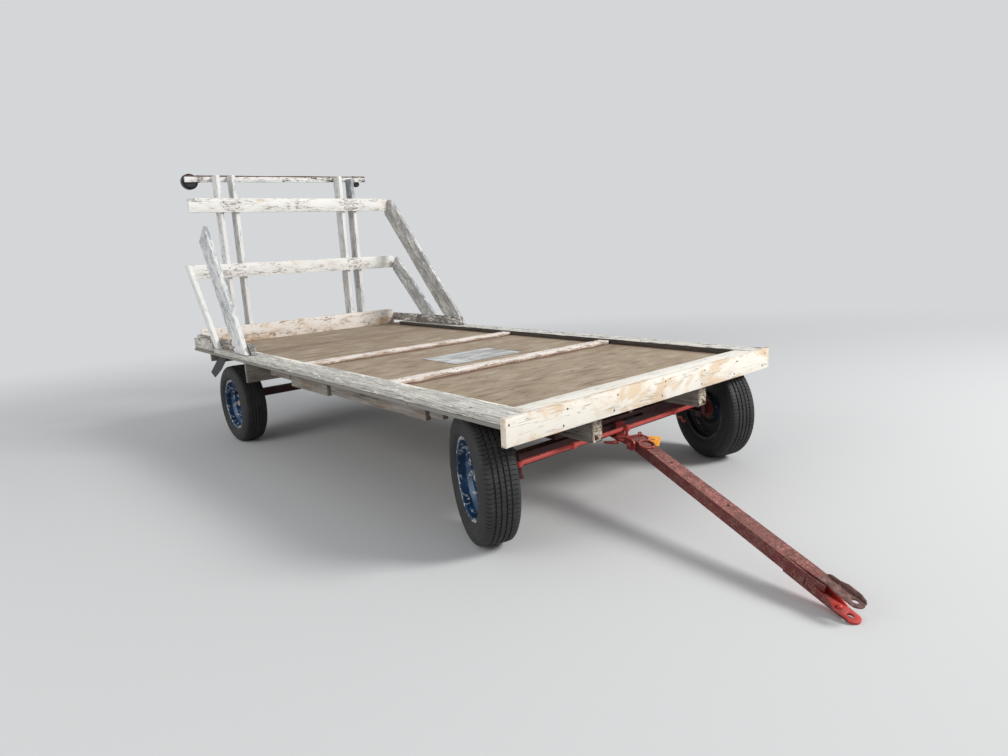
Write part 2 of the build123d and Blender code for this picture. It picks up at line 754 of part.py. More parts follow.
hub_profile = (
    (-66.0, bore),
    (-66.0, 38.0),
    (-44.0, 42.0),
    (-44.0, 74.0),
    (-34.0, 74.0),
    (-34.0, 41.9),
    (14.0, 34.0),
    (34.0, 27.0),
    (40.0, 16.0),
    (40.0, 0.0),
    (9.0, 0.0),
    (9.0, bore),
)
wheel_offset = WHEEL_Y - KINGPIN_Y
wheels = (
    ("front_left", AXLE_X, 1, WHEEL_YAW),
    ("front_right", AXLE_X, -1, WHEEL_YAW),
    ("rear_left", REAR_AXLE_X, 1, 0.0),
    ("rear_right", REAR_AXLE_X, -1, 0.0),
)
for place, axle_x, side, yaw in wheels:
    outboard = (-side * sin(radians(yaw)), side * cos(radians(yaw)), 0.0)
    normal = (side * cos(radians(yaw)), side * sin(radians(yaw)), 0.0)
    centre = (
        axle_x + wheel_offset * outboard[0],
        side * KINGPIN_Y + wheel_offset * outboard[1],
        TYRE_R,
    )
    wheel_plane = Plane(centre, x_dir=outboard, z_dir=normal)
    for kind, profile in (("tyre", tyre_profile), ("wheel", rim_profile), ("hub", hub_profile)):
        with BuildPart() as turned:
            with BuildSketch(wheel_plane):
                with BuildLine():
                    Polyline(*profile, close=True)
                make_face()
            revolve(axis=Axis(centre, outboard))
        save(turned, f"{kind}_{place}")
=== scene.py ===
# %% [markdown]
# # An old hay wagon, finished in Blender
# The wagon comes in as plain solids that already have their true sizes and places. This lesson
# gives each solid the finish of the real thing, puts tread, bolts, lamps and hitch pieces on it,
# and sets the camera where the photograph was taken. The running gear steers and the tongue
# lifts, so every new piece is told which moving body carries it.

# %% Load the frame and measure it
import math
import random

import bmesh
import bpy
from mathutils import Matrix, Vector
from mathutils import noise as cloud_noise


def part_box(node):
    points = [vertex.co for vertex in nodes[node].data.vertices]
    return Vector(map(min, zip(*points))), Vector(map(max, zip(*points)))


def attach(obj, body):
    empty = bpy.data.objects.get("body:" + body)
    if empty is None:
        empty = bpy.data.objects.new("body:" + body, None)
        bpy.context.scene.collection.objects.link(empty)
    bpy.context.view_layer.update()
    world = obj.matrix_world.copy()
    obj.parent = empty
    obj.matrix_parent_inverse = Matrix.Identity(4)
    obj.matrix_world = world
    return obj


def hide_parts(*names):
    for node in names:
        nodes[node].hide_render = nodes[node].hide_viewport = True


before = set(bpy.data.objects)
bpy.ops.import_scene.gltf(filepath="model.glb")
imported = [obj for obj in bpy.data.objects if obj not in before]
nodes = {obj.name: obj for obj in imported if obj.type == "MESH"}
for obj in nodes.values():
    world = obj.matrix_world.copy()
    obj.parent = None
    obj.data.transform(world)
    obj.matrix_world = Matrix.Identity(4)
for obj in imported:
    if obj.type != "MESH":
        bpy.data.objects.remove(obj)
scene = bpy.context.scene
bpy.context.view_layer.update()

# %% [markdown]
# The axles' places are read from the solids' own boxes; the bed's height, offset and pitch and the
# wheels' places are given as numbers. The bed sits a little nose down on its running gear, so places
# on it are easiest to give in the bed's own measure: how far back from its front face, how far
# across, and how far above its top. One matrix turns that measure into the wagon's. The wheels and
# the tongue have measures of their own.

# %% Read the main places
axle_x = sum(corner[0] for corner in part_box("front_axle")) / 2
rear_axle_x = sum(corner[0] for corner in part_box("rear_axle")) / 2
BED_HIGH = 0.790
BED_AHEAD = 0.393
bed_pitch = math.radians(1.6)
bed_turn = Matrix.Rotation(bed_pitch, 4, "Y")
over_axle = Matrix.Translation((axle_x, 0.0, BED_HIGH))
bed = over_axle @ bed_turn @ Matrix.Translation((BED_AHEAD, 0.0, 0.0))


def on_bed(back, across, rise):
    """Place in the wagon's frame of a point measured on the bed."""
    return bed @ Vector((-back, across, rise))


wheel_height = 0.360
kingpin_y = 0.870
wheel_y = 1.036
wheel_yaw = math.radians(-22.5)
tongue_yaw = math.radians(-19.4)
print("axles at", round(axle_x, 3), round(rear_axle_x, 3), "front corner at", on_bed(0, -1.226, 0))

# %% [markdown]
# The camera stands where the photographer stood: a little under 1.5 m high, off the wagon's
# right front corner, looking back along the deck. The place and the three axes were found by
# matching the deck's corners, the sheets' joints and the wheels in the photograph, which also
# gave a wide lens. They are measured on the bed, because the bed shows most. The last turn of a
# few degrees is the camera's own roll.

# %% Set the camera
camera_data = bpy.data.cameras.new("photo_camera")
camera = bpy.data.objects.new("photo_camera", camera_data)
scene.collection.objects.link(camera)
camera_data.sensor_fit = "HORIZONTAL"
camera_data.sensor_width = 36.0
camera_data.lens = 23.11
camera_data.clip_end = 200.0
camera_place = bed @ Vector((2.162, -3.076, 0.744))
looking = bed_turn.to_3x3() @ Vector((-0.7446, 0.6397, -0.1904)).normalized()
upward = bed_turn.to_3x3() @ Vector((-0.1108, 0.1629, 0.9804))
rightward = looking.cross(upward).normalized()
upward = rightward.cross(looking)
turn = Matrix((rightward, upward, -looking)).transposed()
camera.matrix_world = Matrix.Translation(camera_place) @ turn.to_4x4()
scene.camera = camera
print("camera at", [round(v, 2) for v in camera_place])

# %% [markdown]
# Every finish here is a small tree of nodes that starts from a place on the wagon. These helpers
# keep the trees short. One starts a finish, one turns and stretches the place so that a pattern
# runs with the grain of a board, the next add noise and pick colours from it, and the last lays
# colour, roughness and relief on the shader. Old paint and rust are never even, so each finish
# mixes several sizes of noise.

# %% Helpers for finishes
finishes = {}


def start_finish(name):
    """A new finish: its tree, its shader and the place on the wagon in metres."""
    finish = bpy.data.materials.new(name)
    finish.use_nodes = True
    finishes[name] = finish
    tree = finish.node_tree
    place = tree.nodes.new("ShaderNodeTexCoord").outputs["Object"]
    return tree, tree.nodes["Principled BSDF"], place


def turned(tree, place, turn=(0.0, 0.0, 0.0), stretch=(1.0, 1.0, 1.0), centre=(0.0, 0.0, 0.0)):
    """The place measured from a centre, turned back by an angle and stretched along its axes."""
    mapping = tree.nodes.new("ShaderNodeMapping")
    mapping.vector_type = "TEXTURE"
    mapping.inputs["Location"].default_value = centre
    mapping.inputs["Rotation"].default_value = turn
    mapping.inputs["Scale"].default_value = stretch
    tree.links.new(place, mapping.inputs["Vector"])
    return mapping.outputs["Vector"]


def noise(tree, place, scale, detail=4.0, roughness=0.55, warp=0.0):
    """A cloudy value between 0 and 1, mostly near a half."""
    cloud = tree.nodes.new("ShaderNodeTexNoise")
    cloud.inputs["Scale"].default_value = scale
    cloud.inputs["Detail"].default_value = detail
    cloud.inputs["Roughness"].default_value = roughness
    cloud.inputs["Distortion"].default_value = warp
    tree.links.new(place, cloud.inputs["Vector"])
    return cloud.outputs["Fac"]


def grainy(tree, place, turn, stretch, *pattern):
    """Noise drawn out along a grain: the grain's turn, how far, and then what noise takes."""
    return noise(tree, turned(tree, place, turn, (stretch, 1.0, 1.0)), *pattern)


def sums(tree, kind, first, second=0.0, third=0.0):
    """One step of arithmetic on sockets or plain numbers."""
    step = tree.nodes.new("ShaderNodeMath")
    step.operation = kind
    for socket, value in zip(step.inputs, (first, second, third)):
        if isinstance(value, (int, float)):
            socket.default_value = value
        else:
            tree.links.new(value, socket)
    return step.outputs[0]


def weighted(tree, first, share, second, other_share):
    """Two patterns added, each with its own share."""
    return sums(tree, "MULTIPLY_ADD", first, share, sums(tree, "MULTIPLY", second, other_share))


def rise_between(tree, value, low, high, start=0.0, end=1.0):
    """A soft step: start below the low level, end above the high one."""
    step = tree.nodes.new("ShaderNodeMapRange")
    step.interpolation_type = "SMOOTHSTEP"
    for socket, number in zip(("From Min", "From Max", "To Min", "To Max"), (low, high, start, end)):
        step.inputs[socket].default_value = number
    tree.links.new(value, step.inputs["Value"])
    return step.outputs["Result"]


def colours(tree, value, *stops):
    """A colour for each level of a pattern, given as pairs of level and colour."""
    ramp = tree.nodes.new("ShaderNodeValToRGB")
    points = ramp.color_ramp.elements
    while len(points) < len(stops):
        points.new(0.5)
    for point, (level, colour) in zip(points, stops):
        point.position = level
        point.color = (*colour, 1.0)
    tree.links.new(value, ramp.inputs["Fac"])
    return ramp.outputs["Color"]


def over(tree, amount, below, above):
    """One colour laid over another where a mask is high."""
    mix = tree.nodes.new("ShaderNodeMix")
    mix.data_type = "RGBA"
    tree.links.new(amount, mix.inputs["Factor"])
    for socket, colour in ((mix.inputs[6], below), (mix.inputs[7], above)):
        if isinstance(colour, tuple):
            socket.default_value = (*colour, 1.0)
        else:
            tree.links.new(colour, socket)
    return mix.outputs[2]


def toned(colour, share):
    """A colour made darker or lighter by a share."""
    return tuple(v * share for v in colour)


def lay_on(tree, shader, colour, rough, height, depth, strength):
    """Give a shader its colour, its roughness, and its relief to a depth in metres."""
    tree.links.new(colour, shader.inputs["Base Color"])
    if isinstance(rough, float):
        shader.inputs["Roughness"].default_value = rough
    else:
        tree.links.new(rough, shader.inputs["Roughness"])
    bump = tree.nodes.new("ShaderNodeBump")
    bump.inputs["Distance"].default_value = depth
    bump.inputs["Strength"].default_value = strength
    tree.links.new(height, bump.inputs["Height"])
    tree.links.new(bump.outputs["Normal"], shader.inputs["Normal"])


def parts_of(tree, place):
    """The three measures of a place, one socket each."""
    split = tree.nodes.new("ShaderNodeSeparateXYZ")
    tree.links.new(place, split.inputs[0])
    return split.outputs[0], split.outputs[1], split.outputs[2]


print("finish helpers ready")

# %% [markdown]
# A plain pale floor and a pale surround keep all attention on the wagon. One broad lamp stands
# high at the wagon's left front, where the sun stood, and a weaker one fills the near side. Both
# are large, so their shadows are soft. The surround shows its pale colour only to rays that come
# from the camera or from a glossy surface, so it adds no light to the wood. The floor takes the
# lamps' light near the wagon, and further out it passes over into the surround's colour for the
# same rays, so no dark horizon is left.

# %% Floor, surround and lamps
PALE = (0.66, 0.675, 0.69, 1.0)
FADE_FROM = 3.2
FADE_TO = 13.0


def seen_directly(tree):
    """One for rays from the camera or a glossy surface, and zero for all others."""
    rays = tree.nodes.new("ShaderNodeLightPath")
    return sums(tree, "MAXIMUM", rays.outputs["Is Camera Ray"], rays.outputs["Is Glossy Ray"])


def mixed(tree, amount, first, second, output):
    """Two shaders mixed by an amount and joined to the tree's output."""
    mix = tree.nodes.new("ShaderNodeMixShader")
    for socket, value in zip(mix.inputs, (amount, first, second)):
        tree.links.new(value, socket)
    tree.links.new(mix.outputs[0], output)


bpy.ops.mesh.primitive_plane_add(size=120.0, location=(0.0, 0.0, 0.0))
floor = bpy.context.object
floor.name = "pale_floor"
tree, shader, place = start_finish("pale_floor_paint")
shader.inputs["Base Color"].default_value = (0.60, 0.60, 0.595, 1.0)
shader.inputs["Roughness"].default_value = 0.9
shader.inputs["Specular IOR Level"].default_value = 0.1
distance = tree.nodes.new("ShaderNodeVectorMath")
distance.operation = "LENGTH"
tree.links.new(place, distance.inputs[0])
fade = rise_between(tree, distance.outputs["Value"], FADE_FROM, FADE_TO)
fade = sums(tree, "MULTIPLY", fade, seen_directly(tree))
pale_glow = tree.nodes.new("ShaderNodeEmission")
pale_glow.inputs["Color"].default_value = PALE
floor_out = tree.nodes["Material Output"].inputs["Surface"]
mixed(tree, fade, shader.outputs[0], pale_glow.outputs[0], floor_out)
floor.data.materials.append(finishes["pale_floor_paint"])

world = bpy.data.worlds.new("studio")
scene.world = world
world.use_nodes = True
tree = world.node_tree
tree.nodes.clear()
glows = []
for colour, strength in (((0.93, 0.96, 1.0, 1.0), 0.5), (PALE, 1.0)):
    glow = tree.nodes.new("ShaderNodeBackground")
    glow.inputs["Color"].default_value = colour
    glow.inputs["Strength"].default_value = strength
    glows.append(glow.outputs[0])
world_out = tree.nodes.new("ShaderNodeOutputWorld")
mixed(tree, seen_directly(tree), glows[0], glows[1], world_out.inputs[0])
scene.view_settings.view_transform = "Standard"

lamps = (
    ("key_lamp", (12.0, 6.75, 9.1), (0.0, 0.0, 0.4), 4.8, 2350.0),
    ("fill_lamp", (-1.0, -9.0, 4.5), (0.0, 0.0, 0.7), 6.0, 300.0),
)
for name, place, aim, size, power in lamps:
    lamp_data = bpy.data.lights.new(name, "AREA")
    lamp_data.shape = "SQUARE"
    lamp_data.size = size
    lamp_data.energy = power
    lamp = bpy.data.objects.new(name, lamp_data)
    scene.collection.objects.link(lamp)
    lamp.location = place
    lamp.rotation_euler = (Vector(aim) - Vector(place)).to_track_quat("-Z", "Y").to_euler()
print("two lamps, a floor and a surround")

# %% [markdown]
# Boards on the bed share one measure: distance back, across and above the deck. A finish on the
# bed turns the place into that measure first, so a stain can be put at a board's own foot or end
# even though the bed lies a little nose down.

# %% The bed's own measure inside a finish
bed_zero = bed @ Vector((0.0, 0.0, 0.0))


def bed_spot(tree, place):
    """The place measured on the bed: minus the distance back, across, and above the deck's top."""
    return turned(tree, place, (0.0, bed_pitch, 0.0), centre=tuple(bed_zero))


grain = {
    "along": (0.0, 0.0, 0.0),
    "across": (0.0, 0.0, math.radians(90.0)),
    "upright": (0.0, math.radians(-90.0), 0.0),
    "long_left": (0.0, math.radians(47.5), 0.0),
    "long_right": (0.0, math.radians(51.5), 0.0),
    "short_left": (0.0, math.radians(42.8), 0.0),
    "short_right": (0.0, math.radians(52.5), 0.0),
}
print("grain runs", ", ".join(grain))

# %% [markdown]
# The boards were painted white long ago. The sun has split the paint along the grain and lifted
# it in flakes, and grey wood shows where it fell. The pattern is built the same way: a stretched
# noise makes flakes, a large one decides where whole patches are gone, a thin band of a third one
# makes cracks, and a very long one draws the fibres of the bare wood. The paint stands higher than
# the wood, so its broken edges catch the light.

# %% Peeling white paint
def peeling_paint(name, direction, edge, paint, stain, wood, worn_where=None, stain_edge=0.56):
    """White paint on wood. A lower edge leaves less paint; worn_where adds wear at some places."""
    tree, shader, place = start_finish(name)
    spot = bed_spot(tree, place)
    turn = grain[direction]
    fibres = grainy(tree, spot, turn, 26.0, 170.0, 3.0, 0.6)
    flakes = grainy(tree, spot, turn, 5.0, 95.0, 6.0, 0.72, 0.5)
    patches = grainy(tree, spot, turn, 3.0, 13.0, 5.0, 0.62, 0.4)
    splits = grainy(tree, spot, turn, 16.0, 34.0, 4.0, 0.5)
    tones = grainy(tree, spot, turn, 2.0, 5.5, 5.0, 0.6, 0.8)
    wear = weighted(tree, flakes, 0.62, patches, 0.38)
    if worn_where:
        wear = sums(tree, "ADD", wear, worn_where(tree, spot))
    peeled = rise_between(tree, wear, edge - 0.008, edge + 0.01)
    thin = rise_between(tree, wear, edge - 0.075, edge + 0.01)
    band = sums(tree, "ABSOLUTE", sums(tree, "SUBTRACT", splits, 0.5))
    crack = rise_between(tree, band, 0.002, 0.013, 1.0, 0.0)
    crack = sums(tree, "MULTIPLY", crack, rise_between(tree, patches, 0.42, 0.56))
    stained = rise_between(tree, tones, stain_edge, stain_edge + 0.1)
    fresh = colours(tree, tones, (0.3, paint), (0.75, toned(paint, 0.9)))
    coat = over(tree, sums(tree, "MULTIPLY", stained, 0.7), fresh, stain)
    coat = over(tree, sums(tree, "MULTIPLY", thin, 0.4), coat, toned(wood, 1.7))
    bare = colours(
        tree,
        fibres,
        (0.32, toned(wood, 0.42)),
        (0.5, wood),
        (0.68, toned(wood, 1.6)),
    )
    colour = over(tree, peeled, coat, bare)
    dark = toned(wood, 0.45)
    colour = over(tree, sums(tree, "MULTIPLY", crack, 0.55), colour, dark)
    height = weighted(tree, peeled, -0.55, fibres, 0.5)
    height = sums(tree, "MULTIPLY_ADD", crack, -0.5, height)
    height = sums(tree, "MULTIPLY_ADD", flakes, 0.35, height)
    rough = rise_between(tree, peeled, 0.0, 1.0, 0.55, 0.88)
    lay_on(tree, shader, colour, rough, height, 0.0022, 0.8)


cream = (0.80, 0.75, 0.66)
rosy = (0.80, 0.745, 0.685)
chalk = (0.74, 0.73, 0.70)
tan = (0.64, 0.46, 0.28)
brown_stain = (0.44, 0.28, 0.19)
grey_wood = (0.34, 0.31, 0.275)
brown_wood = (0.36, 0.25, 0.17)
# grey wood with a blue tint; the tint is painted sky light on faces turned away from the lamp
grey_wood_with_painted_sky_tint = (0.34, 0.355, 0.36)
bleached_wood = (0.47, 0.455, 0.41)
# a very dark bare wood for the left side board: painted shade where it shows on the inner face
shade_dark_wood = (0.060, 0.049, 0.040)
print("peeling paint ready")

# %% [markdown]
# Each kind of board has lost its paint in its own way. The front board is still nearly whole, with
# tan patches near its top. The right side board is mostly bare, with flakes left along its inner
# edge, because feet and bales wore the rest off. The rack's boards are white with brown knots. The
# uprights' sides are greyer and bluish, partly from weathering and partly as painted shade.
# A function for each says where it wears more.

# %% Where the boards are worn
def near_top(tree, spot):
    """Less wear low on the front board and a little more near its top."""
    rise = parts_of(tree, spot)[2]
    return rise_between(tree, rise, -0.10, -0.02, -0.05, 0.012)


def outer_side(tree, spot):
    """Bare on top of a side board except for a strip along its inner edge."""
    across = sums(tree, "ABSOLUTE", parts_of(tree, spot)[1])
    wander = grainy(tree, spot, (0.0, 0.0, 0.0), 3.0, 5.0, 3.0)
    inner = sums(tree, "MULTIPLY_ADD", wander, 0.16, sums(tree, "SUBTRACT", across, 1.155))
    return rise_between(tree, inner, -0.05, 0.0, -0.10, 0.10)


def near_nails(tree, spot):
    """More bare wood where the rack's boards are nailed to the uprights."""
    across = sums(tree, "ABSOLUTE", parts_of(tree, spot)[1])
    nail = sums(tree, "ABSOLUTE", sums(tree, "SUBTRACT", across, 0.67))
    return rise_between(tree, nail, 0.02, 0.16, 0.05, 0.0)


def batten_foot(tree, spot):
    """Battens are stained and bare at their foot."""
    rise = parts_of(tree, spot)[2]
    return rise_between(tree, rise, -0.030, -0.016, 0.09, 0.0)


def shaded_inner_face(tree, spot):
    """More bare wood on the left side board's inner face, where the very dark wood is painted shade."""
    across = parts_of(tree, spot)[1]
    return rise_between(tree, across, 1.036, 1.041, 0.20, 0.0)


def upright_sides(tree, spot):
    """The sides of the uprights are barer and greyer than their fronts, partly as painted shade, and the
    last one's top is bare.
    """
    behind, across, rise = parts_of(tree, spot)
    last = rise_between(tree, across, 0.66, 0.68)
    bare_top = sums(tree, "MULTIPLY", last, rise_between(tree, rise, 1.41, 1.45, 0.0, 0.12))
    return sums(tree, "ADD", bare_top, rise_between(tree, behind, -4.784, -4.778, 0.028, 0.0))


def bar_top(tree, spot):
    """The light bar is barer towards the wagon's left."""
    across = parts_of(tree, spot)[1]
    return rise_between(tree, across, -1.0, 0.4, -0.02, 0.03)


# name, grain, edge, paint, stain, wood, where it is worn, stain edge
boards = (
    ("front_board_paint", "across", 0.622, cream, tan, brown_wood, near_top, 0.50),
    ("filler_paint", "across", 0.61, (0.82, 0.78, 0.70), tan, grey_wood, None, 0.60),
    ("batten_paint", "across", 0.555, rosy, brown_stain, (0.44, 0.33, 0.25), batten_foot, 0.55),
    ("right_side_paint", "along", 0.535, (0.86, 0.83, 0.76), tan, bleached_wood, outer_side, 0.58),
    # the left side board's inner face wears to a near-black wood, which is painted shade
    ("left_side_paint", "along", 0.56, (0.68, 0.66, 0.60), tan, shade_dark_wood, shaded_inner_face, 0.58),
    ("rear_kick_paint", "across", 0.565, (0.79, 0.735, 0.67), tan, brown_wood, None, 0.52),
    ("side_kick_paint", "along", 0.478, chalk, brown_stain, (0.205, 0.180, 0.155), None, 0.58),
    ("rack_board_paint", "across", 0.575, (0.80, 0.78, 0.74), tan, grey_wood, near_nails, 0.62),
    ("upright_paint", "upright", 0.58, (0.78, 0.77, 0.74), tan, grey_wood_with_painted_sky_tint, upright_sides, 0.60),
    ("bar_paint", "across", 0.56, chalk, tan, (0.13, 0.11, 0.10), bar_top, 0.60),
    ("long_left_paint", "long_left", 0.48, chalk, tan, (0.36, 0.355, 0.34), None, 0.60),
    ("long_right_paint", "long_right", 0.515, chalk, tan, (0.42, 0.44, 0.45), None, 0.60),
    ("short_left_paint", "short_left", 0.49, chalk, tan, grey_wood_with_painted_sky_tint, None, 0.60),
    ("short_right_paint", "short_right", 0.57, (0.78, 0.77, 0.74), tan, grey_wood_with_painted_sky_tint, None, 0.60),
)
for row in boards:
    peeling_paint(*row)
print(len(boards), "kinds of old paint")

# %% [markdown]
# The deck is thin plywood whose face grain runs across the wagon. Rain has greyed it, and rust and
# mud have stained it a red brown along the battens and the side boards, where water stands. Its
# joints lie 4 feet apart, so one folding of the distance back finds the nearest of them.

# %% Weathered plywood
SHEET_PITCH = 1.219
FIRST_JOINT = 1.316
tree, shader, place = start_finish("plywood_deck")
spot = bed_spot(tree, place)
behind, across, _ = parts_of(tree, spot)
streaks = grainy(tree, spot, grain["across"], 14.0, 60.0, 5.0, 0.62)
fibres = grainy(tree, spot, grain["across"], 30.0, 210.0, 3.0, 0.6)
clouds = grainy(tree, spot, grain["across"], 2.2, 9.0, 8.0, 0.66, 0.35)
specks = grainy(tree, spot, grain["across"], 2.0, 26.0, 2.0, 0.4)
tone = weighted(tree, streaks, 0.5, clouds, 0.5)
wood = colours(
    tree,
    tone,
    (0.36, (0.170, 0.118, 0.076)),
    (0.46, (0.285, 0.214, 0.146)),
    (0.54, (0.355, 0.278, 0.198)),
    (0.64, (0.455, 0.380, 0.290)),
)
from_joint = sums(tree, "PINGPONG", sums(tree, "ADD", behind, FIRST_JOINT), SHEET_PITCH / 2)
ragged = sums(tree, "MULTIPLY_ADD", clouds, -0.24, from_joint)
at_joint = rise_between(tree, ragged, -0.055, 0.01, 1.0, 0.0)
from_side = sums(tree, "SUBTRACT", 1.033, sums(tree, "ABSOLUTE", across))
side_ragged = sums(tree, "MULTIPLY_ADD", clouds, -0.22, from_side)
at_side = rise_between(tree, side_ragged, -0.10, -0.01, 1.0, 0.0)
on_battens = rise_between(tree, behind, -2.95, -2.85, 0.30, 0.85)
wet_joint = sums(tree, "MULTIPLY", at_joint, on_battens)
wet = sums(tree, "MAXIMUM", wet_joint, sums(tree, "MULTIPLY", at_side, 0.5))
cut_edge = rise_between(tree, sums(tree, "ABSOLUTE", across), 1.205, 1.215, 1.0, 0.0)
wood = over(tree, sums(tree, "MULTIPLY", wet, cut_edge), wood, (0.165, 0.085, 0.052))
old_edge = rise_between(tree, sums(tree, "ABSOLUTE", across), 1.2185, 1.2189)
wood = over(tree, old_edge, wood, (0.23, 0.22, 0.20))
spots = rise_between(tree, specks, 0.70, 0.74)
wood = over(tree, sums(tree, "MULTIPLY", spots, 0.8), wood, (0.055, 0.040, 0.032))
height = weighted(tree, fibres, 0.5, streaks, 0.8)
lay_on(tree, shader, wood, 0.86, height, 0.0016, 0.7)
print("plywood ready")

# %% [markdown]
# The timber under the deck was never painted. It has weathered to a pale grey brown with dark
# checks along the grain. The sills' front ends are open end grain, rotted and crumbled, so there
# the pattern changes to a coarse cracked one, whose near-black holes are partly painted shade.

# %% Grey timber
def grey_timber(name, direction, ends=False):
    """Bare weathered timber, with rotten end grain and painted shade in its holes at the sills' front
    ends if asked.
    """
    tree, shader, place = start_finish(name)
    spot = bed_spot(tree, place)
    turn = grain[direction]
    fibres = grainy(tree, spot, turn, 22.0, 130.0, 4.0, 0.6)
    bands = grainy(tree, spot, turn, 7.0, 16.0, 5.0, 0.6, 0.6)
    clouds = noise(tree, spot, 3.0, 4.0)
    tone = weighted(tree, fibres, 0.5, bands, 0.5)
    wood = colours(
        tree,
        tone,
        (0.36, (0.075, 0.060, 0.048)),
        (0.47, (0.210, 0.185, 0.158)),
        (0.60, (0.330, 0.300, 0.262)),
    )
    wood = over(tree, rise_between(tree, clouds, 0.5, 0.66, 0.0, 0.5), wood, (0.16, 0.105, 0.07))
    height = tone
    if ends:
        behind = parts_of(tree, spot)[0]
        at_end = rise_between(tree, behind, -0.086, -0.079)
        crumbs = noise(tree, spot, 75.0, 6.0, 0.75, 1.2)
        # the near-black tone is partly dark rot and partly painted shade in the holes of the open grain
        open_grain_with_hole_shade = colours(
            tree,
            crumbs,
            (0.42, (0.030, 0.020, 0.014)),
            (0.49, (0.36, 0.290, 0.210)),
            (0.57, (0.72, 0.650, 0.530)),
        )
        wood = over(tree, at_end, wood, open_grain_with_hole_shade)
        height = sums(tree, "MULTIPLY_ADD", sums(tree, "MULTIPLY", crumbs, at_end), 4.0, tone)
    lay_on(tree, shader, wood, 0.9, height, 0.003, 0.8)


grey_timber("sill_timber", "along", ends=True)
grey_timber("edge_timber", "along")
grey_timber("joist_timber", "across")
print("grey timber ready")

# %% [markdown]
# The repair plate is a thin sheet of painted metal nailed to the second sheet of plywood. Its paint
# is worn thin, so pale scratches run slantwise over a plain grey, and its rim is dark where dirt
# gathers.

# %% Worn repair plate
tree, shader, place = start_finish("worn_metal_plate")
spot = bed_spot(tree, place)
sweep_turn = (0.0, 0.0, math.radians(62.0))
sweeps = grainy(tree, spot, sweep_turn, 9.0, 34.0, 5.0, 0.62)
clouds = grainy(tree, spot, grain["across"], 2.6, 7.0, 5.0, 0.6, 1.5)
fine = grainy(tree, spot, grain["across"], 16.0, 120.0, 3.0)
tone = weighted(tree, clouds, 0.6, sweeps, 0.4)
metal = colours(
    tree,
    tone,
    (0.39, (0.24, 0.220, 0.190)),
    (0.46, (0.37, 0.365, 0.345)),
    (0.53, (0.50, 0.505, 0.495)),
    (0.60, (0.70, 0.705, 0.690)),
)
behind, across, _ = parts_of(tree, spot)
from_middle_x = sums(tree, "ABSOLUTE", sums(tree, "ADD", behind, 1.800))
from_middle_y = sums(tree, "ABSOLUTE", sums(tree, "SUBTRACT", across, 0.0125))
rim = sums(
    tree,
    "MAXIMUM",
    rise_between(tree, from_middle_x, 0.208, 0.219),
    rise_between(tree, from_middle_y, 0.316, 0.327),
)
metal = over(tree, sums(tree, "MULTIPLY", rim, 0.75), metal, (0.17, 0.14, 0.115))
shader.inputs["Metallic"].default_value = 0.15
rough = rise_between(tree, fine, 0.4, 0.6, 0.42, 0.62)
lay_on(tree, shader, metal, rough, tone, 0.0015, 0.5)
print("repair plate ready")

# %% [markdown]
# The running gear was painted red. On top the sun has turned the paint pink and chalky and rust
# has eaten through in mottled spots, while the sides stay a deep maroon; this contrast of top and
# sides is partly chalking and partly painted light and shade. Height on the piece can't tell top
# from side on a sloping tube, so the change is made by the surface's own direction, and spots of
# rust are cut from a fine and a coarse noise with a sharp step.

# %% Faded red paint with rust
def faded_red(name, fresh, faded, rust, rust_edge, scale=1.0, gloss=0.5, pitted=False):
    """Red paint that is paler on top, partly chalking and partly painted light, and rusted through in
    spots, or in pits all over.
    """
    tree, shader, place = start_finish(name)
    speckle = noise(tree, place, 85.0 * scale, 6.0, 0.72)
    mottle = noise(tree, place, 14.0 * scale, 6.0, 0.65, 0.5)
    clouds = noise(tree, place, 3.5, 4.0)
    up = tree.nodes.new("ShaderNodeTexCoord").outputs["Normal"]
    # paler where faces look up: partly real chalking, partly painted light on tops and shade on sides
    upward = rise_between(tree, parts_of(tree, up)[2], 0.15, 0.85)
    chalk_and_top_light = sums(tree, "MULTIPLY", upward, rise_between(tree, mottle, 0.38, 0.6, 0.45, 1.0))
    if pitted:
        pits = noise(tree, place, 120.0, 3.0, 0.6)
        between_pits = rise_between(tree, pits, 0.44, 0.53, 0.12, 1.0)
        chalk_and_top_light = sums(tree, "MULTIPLY", chalk_and_top_light, between_pits)
    coat = over(tree, chalk_and_top_light, fresh, faded)
    dull = rise_between(tree, clouds, 0.45, 0.65, 0.0, 0.45)
    coat = over(tree, dull, coat, toned(fresh, 0.5))
    wear = weighted(tree, speckle, 0.5, mottle, 0.5)
    wear = sums(tree, "MULTIPLY_ADD", upward, 0.03, wear)
    rusted = rise_between(tree, wear, rust_edge - 0.012, rust_edge + 0.014)
    rust_tone = colours(
        tree,
        speckle,
        (0.36, toned(rust, 0.35)),
        (0.50, rust),
        (0.66, tuple(min(v * 1.9, 1.0) for v in rust)),
    )
    colour = over(tree, rusted, coat, rust_tone)
    height = weighted(tree, rusted, -0.4, speckle, 0.9)
    rough = rise_between(tree, rusted, 0.0, 1.0, gloss, 0.9)
    lay_on(tree, shader, colour, rough, height, 0.0015, 0.7)


chalky_pink = (0.66, 0.300, 0.250)
